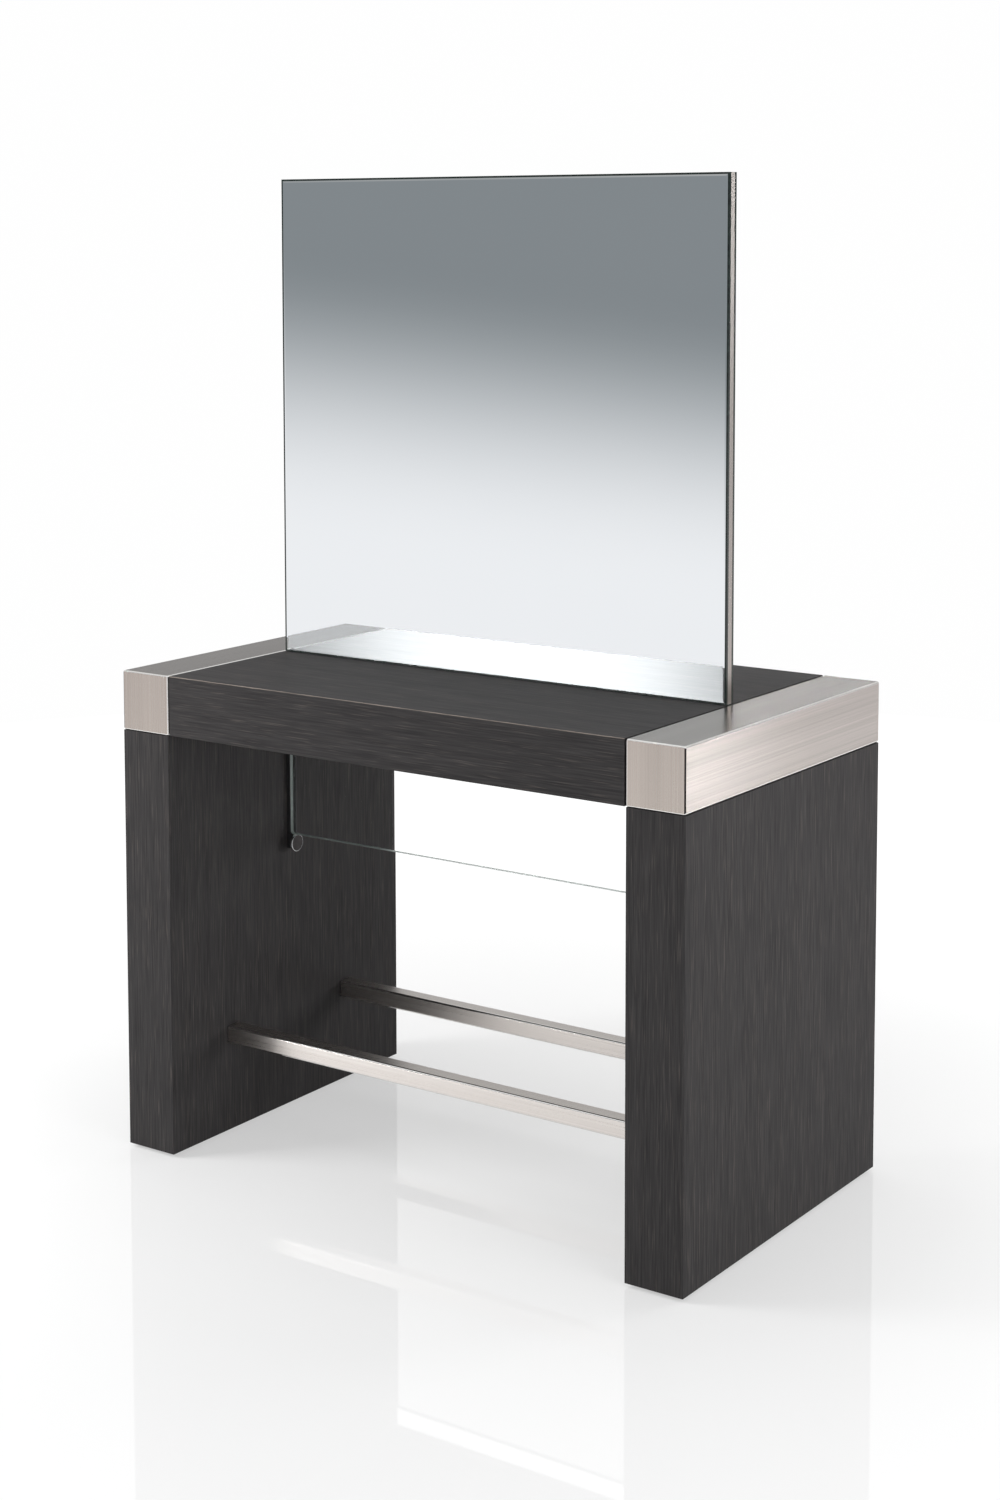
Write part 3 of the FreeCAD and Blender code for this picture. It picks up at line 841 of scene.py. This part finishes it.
class SocketScrew(Recipe):
    """Screws with a hexagon socket, one on each point, each pointing out of the work along "aim"."""

    OVERCUT = 0.001

    def __init__(self) -> None:
        """Lays out the tree."""
        super().__init__("socket_screw")
        names = ("Head Radius", "Head Foot", "Head Height", "Socket Radius", "Socket Depth",
                 "Shank Radius", "Shank Length", "Thread Depth", "Pitch")
        head, foot, height, socket, bore, shank, length, depth, pitch = map(self.ask, names)
        finish = self.ask("Finish", "Material")
        cap = self.drum(head, foot, height, self.ROUND)
        key = self.drum(socket, socket, self.math("ADD", bore, self.OVERCUT), self.HEXAGON)
        key = self.lift(key, self.OVERCUT)
        bored = self.add("GeometryNodeMeshBoolean", {"Mesh 1": cap, "Mesh 2": key},
                         operation="DIFFERENCE", solver="EXACT").outputs[0]
        under = self.math("MULTIPLY", self.math("ADD", height, length), -1.0)
        rod = self.lift(self.thread(shank, depth, pitch, length), under)
        aim = self.add("GeometryNodeInputNamedAttribute", {"Name": "aim"}, data_type="FLOAT_VECTOR")
        turn = self.add("FunctionNodeAlignRotationToVector", {"Vector": aim.outputs[0]}, axis="Z")
        points = self.add("GeometryNodeMeshToPoints", {"Mesh": self.source.outputs[0]})
        placed = self.add("GeometryNodeInstanceOnPoints", {
            "Points": points.outputs[0], "Instance": self.join(bored, rod), "Rotation": turn.outputs[0],
        })
        self.give(placed.outputs[0], finish)


class FootStem(Recipe):
    """A levelling foot's stem: pin, hexagonal collar and threaded rod on one upright axis."""

    def __init__(self) -> None:
        """Lays out the tree."""
        super().__init__("foot_stem")
        names = ("Radius", "Thread Depth", "Pitch", "Length", "Collar Radius", "Collar Height",
                 "Pin Radius", "Pin Length")
        radius, depth, pitch, length, collar, height, pin, reach = map(self.ask, names)
        place, finish = self.ask("Place", "Vector"), self.ask("Finish", "Material")
        rod = self.thread(radius, depth, pitch, length)
        nut = self.drum(collar, collar, height, self.HEXAGON)
        foot = self.lift(self.drum(pin, pin, reach, self.ROUND), self.math("MULTIPLY", height, -1.0))
        inputs = {"Geometry": self.join(rod, nut, foot), "Translation": place}
        self.give(self.add("GeometryNodeTransform", inputs).outputs[0], finish)


@dataclass(frozen=True)
class Screw:
    """Sizes of one kind of screw."""

    head_radius: float
    head_height: float
    shank_radius: float
    length: float
    socket_radius: float
    socket_depth: float
    pitch: float
    countersunk: bool = False
    thread_share: float = 0.6

    def drive(self, node: str, aim: Point) -> None:
        """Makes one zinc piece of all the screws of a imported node.

        Args:
            node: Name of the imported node.
            aim: Direction that the heads look in, with X counted away from the station's middle.
        """
        shape = bmesh.new()
        layer = shape.verts.layers.float_vector.new("aim")
        for low, high in solids(node):
            centre = (low + high) / 2
            out = Vector((aim[0] * math.copysign(1.0, centre.x), aim[1], aim[2]))
            shape.verts.new(centre + out * (self.head_height + self.length) / 2)[layer] = out
        piece = link(f"{node}_threaded", shape)
        SocketScrew().cook(piece, {
            "Head Radius": self.head_radius,
            "Head Foot": self.shank_radius if self.countersunk else self.head_radius,
            "Head Height": self.head_height, "Socket Radius": self.socket_radius,
            "Socket Depth": self.socket_depth, "Shank Radius": self.shank_radius,
            "Shank Length": self.length, "Thread Depth": self.pitch * self.thread_share,
            "Pitch": self.pitch, "Finish": ZINC.material(),
        })
        install(soften(piece, FINE_CREASE), STATION, node)


@dataclass(frozen=True)
class Tube:
    """The section of a square tube with rounded corners, and its finishes."""

    wall: float
    corner: float
    steps: int
    finish: Finish
    arris_finish: Finish

    def draw(self, name: str, node: str, axis: Axis) -> None:
        """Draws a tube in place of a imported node.

        Args:
            name: Name of the piece.
            node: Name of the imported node.
            axis: The axis that it runs along.
        """
        low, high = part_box(node)
        piece = link(name, bmesh.new())
        HollowBar().cook(piece, {
            "Width": high[2] - low[2], "Wall": self.wall, "Corner": self.corner,
            "Corner Steps": self.steps, "Length": high[axis.value] - low[axis.value],
            "Turn": axis.turn(), "Place": middle(low, high), "Finish": self.finish.material(),
            "Arris Finish": self.arris_finish.material(),
        })
        install(soften(piece), STATION, node)


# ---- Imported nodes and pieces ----
def middle(low: Vector, high: Vector) -> Point:
    """Gives the middle of a box."""
    return tuple((first + last) / 2 for first, last in zip(low, high))


def link(name: str, shape: Shape, *finishes: Finish) -> Piece:
    """Puts a finished shape in the scene as an object at the origin.

    Args:
        name: Name of the object and of its mesh.
        shape: The shape, which is used up.
        *finishes: The finishes that its faces number.

    Returns:
        The object.
    """
    mesh = bpy.data.meshes.new(name)
    shape.to_mesh(mesh)
    shape.free()
    for finish in finishes:
        mesh.materials.append(finish.material())
    piece = bpy.data.objects.new(name, mesh)
    bpy.context.scene.collection.objects.link(piece)
    return piece


def dress(node: str, finish: Finish) -> None:
    """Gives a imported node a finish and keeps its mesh.

    Args:
        node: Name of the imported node.
        finish: The finish it gets.
    """
    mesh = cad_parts[node].data
    mesh.materials.clear()
    mesh.materials.append(finish.material())
    LOG.info("dressed %s with %s", node, finish.name)


@dataclass
class SlabLegs:
    """Two legs of mitred boards around timber blocks, each on a black base plate."""

    def build(self) -> None:
        """Finishes the boards, the blocks inside them and the base plates."""
        for side in SIDES:
            for board in ("inner", "outer"):
                dress(f"{side}_leg_{board}_panel", LEG_FACE)
            for board in ("front", "rear"):
                dress(f"{side}_leg_{board}_panel", LEG_EDGE)
            for timber in ("top_block", "footrest_rail", "bottom_block"):
                dress(f"{side}_leg_{timber}", CORE_TIMBER)
            dress(f"{side}_base_plate", BLACK_PLATE)


@dataclass
class Worktop:
    """The tabletop's two halves, their ribs and the black spacers at their ends."""

    def build(self) -> None:
        """Finishes boards, ribs, spacers and gaskets."""
        for half in HALVES:
            for board in ("top", "bottom"):
                dress(f"{half}_{board}_panel", TOP_FACE)
            for board in ("edge", "slot"):
                dress(f"{half}_{board}_panel", TOP_EDGE)
        dress("top_ribs", CORE_TIMBER)
        dress("top_spacers", BLACK_PLASTIC)
        dress("slot_gaskets", BLACK_RUBBER)


@dataclass
class BoxBeams:
    """The steel box beams, the plates that close their ends and the bolts inside them."""

    tube: Tube = Tube(0.003, 0.003, 6, BEAM_STEEL, BURNISHED_HIGHLIGHT)
    plate_arris: float = 0.0022
    plate_steps: int = 4
    lean: float = 0.1
    beam_screw: Screw = Screw(0.008, 0.008, 0.005, 0.048, 0.003, 0.004, 0.0015)
    top_screw: Screw = Screw(0.0064, 0.0064, 0.004, 0.024, 0.0024, 0.0032, 0.00125)

    def plate(self, side: str, half: str) -> None:
        """Makes one end plate: rounded corners, a softened outer rim and a painted dark reflection on its
        outer upright arris.

        Args:
            side: Its beam, left or right.
            half: Its end of the beam, front or rear.
        """
        node = f"{side}_beam_{half}_plate"
        low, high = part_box(node)
        shape = block(low, high)
        round_off(shape, edges_along(shape, Axis.Y), self.tube.corner, self.tube.steps)
        outer = high[1] if HALVES[half] > 0.0 else low[1]
        round_off(shape, edges_at(shape, Axis.Y, outer), self.plate_arris, self.plate_steps)
        piece = link(f"{side}_{half}_end_plate", shape, PLATE_STEEL, BURNISHED_HIGHLIGHT, PAINTED_DARK_REFLECTION)
        for face in piece.data.polygons:
            turned = max(abs(part) for part in face.normal) < FLAT
            # the outer upright arris gets the painted dark reflection
            dark_reflection_side = abs(face.normal.z) < self.lean < face.normal.x * SIDES[side]
            face.material_index = int(turned) + int(turned and dark_reflection_side)
        install(soften(piece), STATION, node)

    def build(self) -> None:
        """Makes tubes, plates and bolts."""
        for side in SIDES:
            self.tube.draw(f"{side}_box_beam", f"{side}_beam_tube", Axis.Y)
            for half in HALVES:
                self.plate(side, half)
        self.beam_screw.drive("beam_bolts", UPWARDS)
        self.top_screw.drive("top_bolts", OUTWARDS)


@dataclass
class MirrorPanel:
    """Two mirrors on a clear core, with steel strips along its upright sides."""

    bevel_width: float = 0.0026
    bevel_depth: float = 0.00012
    seam_width: float = 0.0031
    seam_depth: float = 0.0001
    seamed_steps: int = 2
    core_corner: float = 0.005
    core_corner_steps: int = 8
    arris: float = 0.0006
    strip_arris: float = 0.0004
    strip_arris_steps: int = 2
    strip_corner: float = 0.0022
    strip_corner_steps: int = 5

    def mirror(self, half: str) -> None:
        """Makes one mirror, its face bevelled on all four sides within a black seamed rim.

        Args:
            half: Which mirror, front or rear.
        """
        node = f"{half}_mirror"
        low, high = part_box(node)
        sign = HALVES[half]
        face, back = (high[1], low[1]) if sign > 0.0 else (low[1], high[1])
        foot = self.seam_width + self.bevel_width
        steps = ((0.0, back), (0.0, face - sign * (self.seam_depth + self.bevel_depth)),
                 (self.seam_width, face - sign * self.bevel_depth), (foot, face))
        shape = bmesh.new()
        rings = []
        for inset, level in steps:
            left, right, base, top = low[0] + inset, high[0] - inset, low[2] + inset, high[2] - inset
            outline = ((left, base), (right, base), (right, top), (left, top))
            rings.append([shape.verts.new((x, level, z)) for x, z in outline])
        shape.faces.new(rings[0]).material_index = 1
        shape.faces.new(rings[-1])
        for step, (ring, inner) in enumerate(zip(rings, rings[1:])):
            for turn in range(len(ring)):
                side = shape.faces.new((ring[turn - 1], ring[turn], inner[turn], inner[turn - 1]))
                side.material_index = int(step < self.seamed_steps)
        bmesh.ops.recalc_face_normals(shape, faces=shape.faces)
        install(link(f"{half}_mirror_pane", shape, SILVERING, MIRROR_EDGE), STATION, node)

    def core(self) -> None:
        """Makes the clear core, its lower corners rounded and its cut edges green."""
        low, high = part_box("core_glass")
        shape = block(low, high)
        half_way = (low[2] + high[2]) / 2
        corners = [edge for edge in edges_along(shape, Axis.Y) if edge.verts[0].co.z < half_way]
        round_off(shape, corners, self.core_corner, self.core_corner_steps)
        for level in (low[1], high[1]):
            round_off(shape, edges_at(shape, Axis.Y, level), self.arris, 1)
        for facet in shape.faces:
            facet.normal_update()
            facet.material_index = int(abs(facet.normal.y) < FLAT)
        install(link("core_pane", shape, CLEAR_GLASS, CUT_EDGE), STATION, "core_glass")

    def strip(self, side: str) -> None:
        """Makes one steel strip with rounded ends and broken edges.

        Args:
            side: Its side of the mirrors, left or right.
        """
        node = f"{side}_mirror_trim"
        shape = block(*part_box(node))
        round_off(shape, edges_along(shape, Axis.X), self.strip_corner, self.strip_corner_steps)
        outer = SIDES[side] * max(abs(corner[0]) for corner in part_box(node))
        round_off(shape, edges_at(shape, Axis.X, outer), self.strip_arris, self.strip_arris_steps)
        install(soften(link(f"{side}_side_strip", shape, TRIM_STEEL)), STATION, node)

    def build(self) -> None:
        """Makes mirrors, core and strips, and finishes the tapes."""
        for half in HALVES:
            self.mirror(half)
        for side in SIDES:
            self.strip(side)
        self.core()
        dress("bonding_tapes", FOAM_TAPE)


@dataclass
class GlassCarriers:
    """The black profiles, chromed studs, pads and screws that carry the core."""

    disc_thickness: float = 0.005
    rim_radius: float = 0.0008
    rim_steps: int = 6
    back_break: float = 0.0003
    shank_radius: float = 0.004
    flats: int = 72
    screw: Screw = Screw(0.00399, 0.002, 0.002, 0.022, 0.0012, 0.0014, 0.0007, True)

    def stud(self, side: str) -> None:
        """Turns one stud: a disc with a rounded rim and a painted dark reflection on its face, on a plain
        shank.

        Args:
            side: Its leg, left or right.
        """
        node = f"{side}_support_stud"
        low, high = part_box(node)
        radius, length = (high[2] - low[2]) / 2, high[0] - low[0]
        under = length - self.disc_thickness
        centre = (radius - self.rim_radius, length - self.rim_radius)
        rim = arc(centre, self.rim_radius, 0.0, self.rim_steps)
        shape = lathe([
            (0.0, 0.0), (self.shank_radius, 0.0), (self.shank_radius, under),
            (radius - self.back_break, under), (radius, under + self.back_break), *rim, (0.0, length),
        ], self.flats)
        sign = -SIDES[side]
        start = high[0] if sign < 0.0 else low[0]
        stand = Matrix.Translation((start, *middle(low, high)[1:]))
        turn = Matrix.Rotation(sign * math.pi / 2, 4, "Y")
        bmesh.ops.transform(shape, matrix=stand @ turn, verts=shape.verts)
        piece = link(f"{side}_disc_stud", shape, CHROME, PAINTED_DARK_REFLECTION)
        for face in piece.data.polygons:
            # the disc's face gets the painted dark reflection
            face.material_index = int(face.normal.x * sign > FLAT and abs(face.center.x - start) > under)
        install(soften(piece, TURNED_CREASE), STATION, node)

    def build(self) -> None:
        """Makes studs and screws, and finishes profiles and pads."""
        for side in SIDES:
            dress(f"{side}_glazing_profile", BLACK_PROFILE)
            self.stud(side)
        dress("setting_pads", CLEAR_NYLON)
        self.screw.drive("glazing_screws", INWARDS)


@dataclass
class Footrests:
    """The two bars between the legs, their sockets and screws."""

    tube: Tube = Tube(0.002, 0.0036, 8, BAR_STEEL, POLISHED_HIGHLIGHT)
    screw: Screw = Screw(0.00599, 0.003, 0.003, 0.067, 0.0018, 0.0022, 0.001, True)

    def build(self) -> None:
        """Makes bars and screws, and finishes the sockets."""
        for half in HALVES:
            self.tube.draw(f"{half}_foot_bar", f"{half}_footrest", Axis.X)
        dress("footrest_sockets", BLACK_PLASTIC)
        self.screw.drive("footrest_screws", INWARDS)


@dataclass
class LevellingFeet:
    """Four feet, each a nylon pad and a threaded stem, and the sleeves they turn in."""

    pad_edge: float = 0.0008
    pad_steps: int = 4
    flats: int = 64
    stem_radius: float = 0.005
    thread_depth: float = 0.00085
    pitch: float = 0.0015
    collar_height: float = 0.003
    pin_radius: float = 0.0035
    pin_length: float = 0.0015
    pin_gap: float = 0.00002
    pin_play: float = 0.0001

    def pad(self, foot: str) -> None:
        """Turns one pad: rounded edges, and a recess for the stem's pin.

        Args:
            foot: Name of the foot, as front_left_foot.
        """
        low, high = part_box(f"{foot}_pad")
        stem_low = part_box(f"{foot}_stem")[0]
        height, recess, bore = high[2] - low[2], stem_low[2] - low[2], self.pin_radius + self.pin_play
        across = (high[1] - low[1]) / 2 - self.pad_edge
        below = arc((across, self.pad_edge), self.pad_edge, -90.0, self.pad_steps)
        above = arc((across, height - self.pad_edge), self.pad_edge, 0.0, self.pad_steps)
        profile = [(0.0, 0.0), *below, *above, (bore, height), (bore, recess), (0.0, recess)]
        shape = lathe(profile, self.flats)
        bmesh.ops.translate(shape, verts=shape.verts, vec=(*middle(low, high)[:2], low[2]))
        piece = soften(link(f"{foot}_turned_pad", shape, FOOT_NYLON), TURNED_CREASE)
        install(piece, f"{foot}_pad", f"{foot}_pad")

    def stem(self, foot: str) -> None:
        """Makes one stem with its collar, pin and thread.

        Args:
            foot: Name of the foot, as front_left_foot.
        """
        low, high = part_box(f"{foot}_stem")
        base = low[2] + self.pin_length + self.collar_height
        piece = link(f"{foot}_threaded_stem", bmesh.new())
        FootStem().cook(piece, {
            "Radius": self.stem_radius, "Thread Depth": self.thread_depth, "Pitch": self.pitch,
            "Length": high[2] - base, "Collar Radius": (high[0] - low[0]) / 2,
            "Collar Height": self.collar_height, "Pin Radius": self.pin_radius,
            "Pin Length": self.pin_length - self.pin_gap, "Finish": ZINC.material(),
            "Place": (*middle(low, high)[:2], base),
        })
        install(soften(piece, FINE_CREASE), f"{foot}_stem", f"{foot}_stem")

    def build(self) -> None:
        """Makes pads and stems, and finishes the sleeves."""
        for half in HALVES:
            for side in SIDES:
                self.pad(f"{half}_{side}_foot")
                self.stem(f"{half}_{side}_foot")
        dress("leveller_sleeves", ZINC)


# ---- Studio ----
class Lit(Enum):
    """What a lamp reaches: matt surfaces or gloss."""

    MATT = 0
    GLOSS = 1


@dataclass(frozen=True)
class Softbox:
    """One rectangular lamp that points at the station."""

    name: str
    place: Point
    width: float
    height: float
    power: float
    lights: Lit
    target: Point = (0.0, 0.0, 0.8)
    onto: tuple[str, ...] = ()
    tint: Point = (1.0, 1.0, 1.0)

    def hang(self) -> None:
        """Puts the lamp in the scene, unseen by the camera and in mirrors."""
        data = bpy.data.lights.new(self.name, "AREA")
        data.shape = "RECTANGLE"
        data.size, data.size_y = self.width, self.height
        data.energy = self.power
        lamp = bpy.data.objects.new(self.name, data)
        bpy.context.scene.collection.objects.link(lamp)
        lamp.location = self.place
        aim = Vector(self.target) - Vector(self.place)
        lamp.rotation_euler = aim.to_track_quat("-Z", "Y").to_euler()
        lamp.visible_camera = False
        lamp.visible_glossy = self.lights is Lit.GLOSS
        lamp.visible_diffuse = self.lights is Lit.MATT
        data.color = self.tint
        data.cycles.use_multiple_importance_sampling = False
        if self.onto:
            receivers = bpy.data.collections.new(f"{self.name}_onto")
            for name in self.onto:
                receivers.objects.link(bpy.data.objects[name])
            lamp.light_linking.receiver_collection = receivers
        LOG.info("hung %s", self.name)


TOP_FACES = tuple(f"{half}_top_panel" for half in HALVES)
FOOT_BARS = tuple(f"{half}_foot_bar" for half in HALVES)
SIDE_STRIPS = tuple(f"{side}_side_strip" for side in SIDES)
STEEL_ENDS = tuple(
    f"{side}_{part}" for side in SIDES for part in ("box_beam", "front_end_plate", "rear_end_plate")
)


@dataclass
class Studio:
    """A glossy white floor, a white surround with what metal reflects in it, and soft lamps."""

    floor_radius: float = 4.0
    floor_flats: int = 48
    paper: float = 0.995
    ambient: Colour = (0.25, 0.25, 0.253, 1.0)
    tilt: Span = (0.107, -0.074)
    heights: Span = (-0.2, 1.0)
    pale: Point = (248.0, 246.0, 247.0)
    slate: Point = (136.0, 140.0, 143.0)
    band: Span = (-0.145, -0.02)
    band_lean: float = 1.45
    band_steps: int = 16
    sky: tuple[tuple[float, Point], ...] = (
        (0.04, slate), (0.12, (174.0, 174.0, 173.0)), (0.28, (206.0, 206.0, 205.0)),
        (0.55, (232.0, 233.0, 234.0)), (1.0, (240.0, 240.0, 240.0)),
    )
    softboxes: tuple[Softbox, ...] = (
        Softbox("top_softbox", (-0.3, 0.3, 4.2), 4.0, 4.0, 105.0, Lit.MATT),
        Softbox("top_gloss_softbox", (-0.3, 0.3, 4.2), 4.0, 4.0, 40.0, Lit.GLOSS),
        Softbox("glare_softbox", (-4.7, -7.0, 3.1), 2.0, 2.0, 570.0, Lit.GLOSS, onto=TOP_FACES),
        Softbox("beam_softbox", (-5.2, -6.7, 2.6), 1.8, 1.8, 8.0, Lit.GLOSS, onto=STEEL_ENDS,
                tint=(0.87, 0.93, 1.0)),
        Softbox("back_softbox", (-2.3, 6.3, 2.2), 3.0, 1.2, 5.5, Lit.GLOSS, onto=STEEL_ENDS + TOP_FACES),
        Softbox("strip_softbox", (3.6, 5.65, 1.75), 0.8, 1.3, 7.0, Lit.GLOSS, onto=SIDE_STRIPS),
        Softbox("key_softbox", (-2.1, -1.6, 1.45), 1.0, 1.0, 58.0, Lit.MATT, (-0.3, 0.0, 0.6)),
        Softbox("right_softbox", (3.2, -0.9, 1.3), 2.0, 2.0, 46.0, Lit.MATT, (0.3, 0.0, 0.5)),
        Softbox("rear_softbox", (1.8, 2.2, 0.9), 1.0, 1.0, 30.0, Lit.MATT, (-0.4, 0.0, 0.4)),
        Softbox("bar_softbox", (-3.2, -3.4, 0.5), 1.0, 1.0, 75.0, Lit.GLOSS, (-0.1, -0.15, 0.17),
                FOOT_BARS),
        Softbox("edge_softbox", (1.3, 0.79, 0.5), 0.35, 0.35, 0.5, Lit.GLOSS, (0.5, -0.3, 0.77)),
    )

    def gloss_stops(self) -> list[tuple[float, Colour]]:
        """Gives what metal and mirror see by height over the horizon.

        Below the band it is pale, across the band it eases to slate, and the sky's tones follow.

        Returns:
            Place from 0 to 1 and colour of each stop, lowest first.
        """
        tones = []
        for step in range(self.band_steps + 1):
            share = step / self.band_steps
            bent = share ** self.band_lean
            eased = bent * bent * (3.0 - 2.0 * bent)
            height = self.band[0] + share * (self.band[1] - self.band[0])
            tones.append((height, Vector(self.pale).lerp(Vector(self.slate), eased)))
        low, high = self.heights
        return [((height - low) / (high - low), srgb(*tone)) for height, tone in (*tones, *self.sky)]

    def surround(self) -> None:
        """Makes the world: white to the camera, a soft gradient to metal, plain light to the rest."""
        world = bpy.data.worlds.new("studio_surround")
        world.use_nodes = True
        world.node_tree.nodes.clear()
        bpy.context.scene.world = world
        bench = ShaderBench(world.node_tree)
        ray = bench.add("ShaderNodeLightPath").outputs
        direction = bench.add("ShaderNodeTexCoord").outputs["Generated"]
        sides = bench.add("ShaderNodeSeparateXYZ", {0: direction}).outputs
        leaning = bench.math("ADD", bench.math("MULTIPLY", sides[0], self.tilt[0]),
                             bench.math("MULTIPLY", sides[1], self.tilt[1]))
        height = bench.math("ADD", sides[2], leaning)
        mirrored = bench.ramp(bench.spread(height, self.heights, UNIT), self.gloss_stops())
        seen = bench.math("MAXIMUM", ray["Is Camera Ray"], ray["Is Transmission Ray"])
        colour = bench.blend(ray["Is Glossy Ray"], self.ambient, mirrored)
        colour = bench.blend(seen, colour, grey(self.paper))
        background = bench.add("ShaderNodeBackground", {"Color": colour, "Strength": 1.0})
        bench.add("ShaderNodeOutputWorld", {"Surface": background.outputs[0]})

    def floor(self) -> None:
        """Lays a round floor."""
        shape = bmesh.new()
        bmesh.ops.create_circle(
            shape, cap_ends=True, radius=self.floor_radius, segments=self.floor_flats
        )
        link("studio_floor", shape, STUDIO_WHITE)

    def build(self) -> None:
        """Sets up floor, surround and lamps."""
        bpy.context.scene.view_settings.view_transform = "Standard"
        self.floor()
        self.surround()
        for softbox in self.softboxes:
            softbox.hang()


@dataclass(frozen=True)
class Eye:
    """The camera: where it stands, where it looks and how much it takes in."""

    place: Point = (2.2910, -3.2864, 1.5486)
    yaw: float = 0.6070
    pitch: float = -0.0883
    roll: float = -0.0012
    focal_pixels: float = 2455.7
    frame_height: float = 1500.0
    rise: float = 0.20
    sensor: float = 36.0
    reach: Span = (0.05, 100.0)

    def build(self) -> None:
        """Makes the scene's camera."""
        data = bpy.data.cameras.new("eye")
        data.sensor_width = self.sensor
        data.lens = self.focal_pixels / self.frame_height * self.sensor
        data.shift_y = -self.rise
        data.clip_start, data.clip_end = self.reach
        camera = bpy.data.objects.new("eye", data)
        bpy.context.scene.collection.objects.link(camera)
        bpy.context.scene.camera = camera
        turn = Matrix.Rotation(self.yaw, 4, "Z") @ Matrix.Rotation(math.pi / 2 + self.pitch, 4, "X")
        lean = Matrix.Rotation(self.roll, 4, "Z")
        camera.matrix_world = Matrix.Translation(self.place) @ turn @ lean


def main() -> None:
    """Builds the station's looks, then the studio and the camera."""
    assemblies = (
        SlabLegs(), Worktop(), BoxBeams(), MirrorPanel(), GlassCarriers(), Footrests(), LevellingFeet(),
        Studio(), Eye(),
    )
    for assembly in assemblies:
        assembly.build()
        LOG.info("built %s", type(assembly).__name__)


if __name__ == "__main__":
    main()
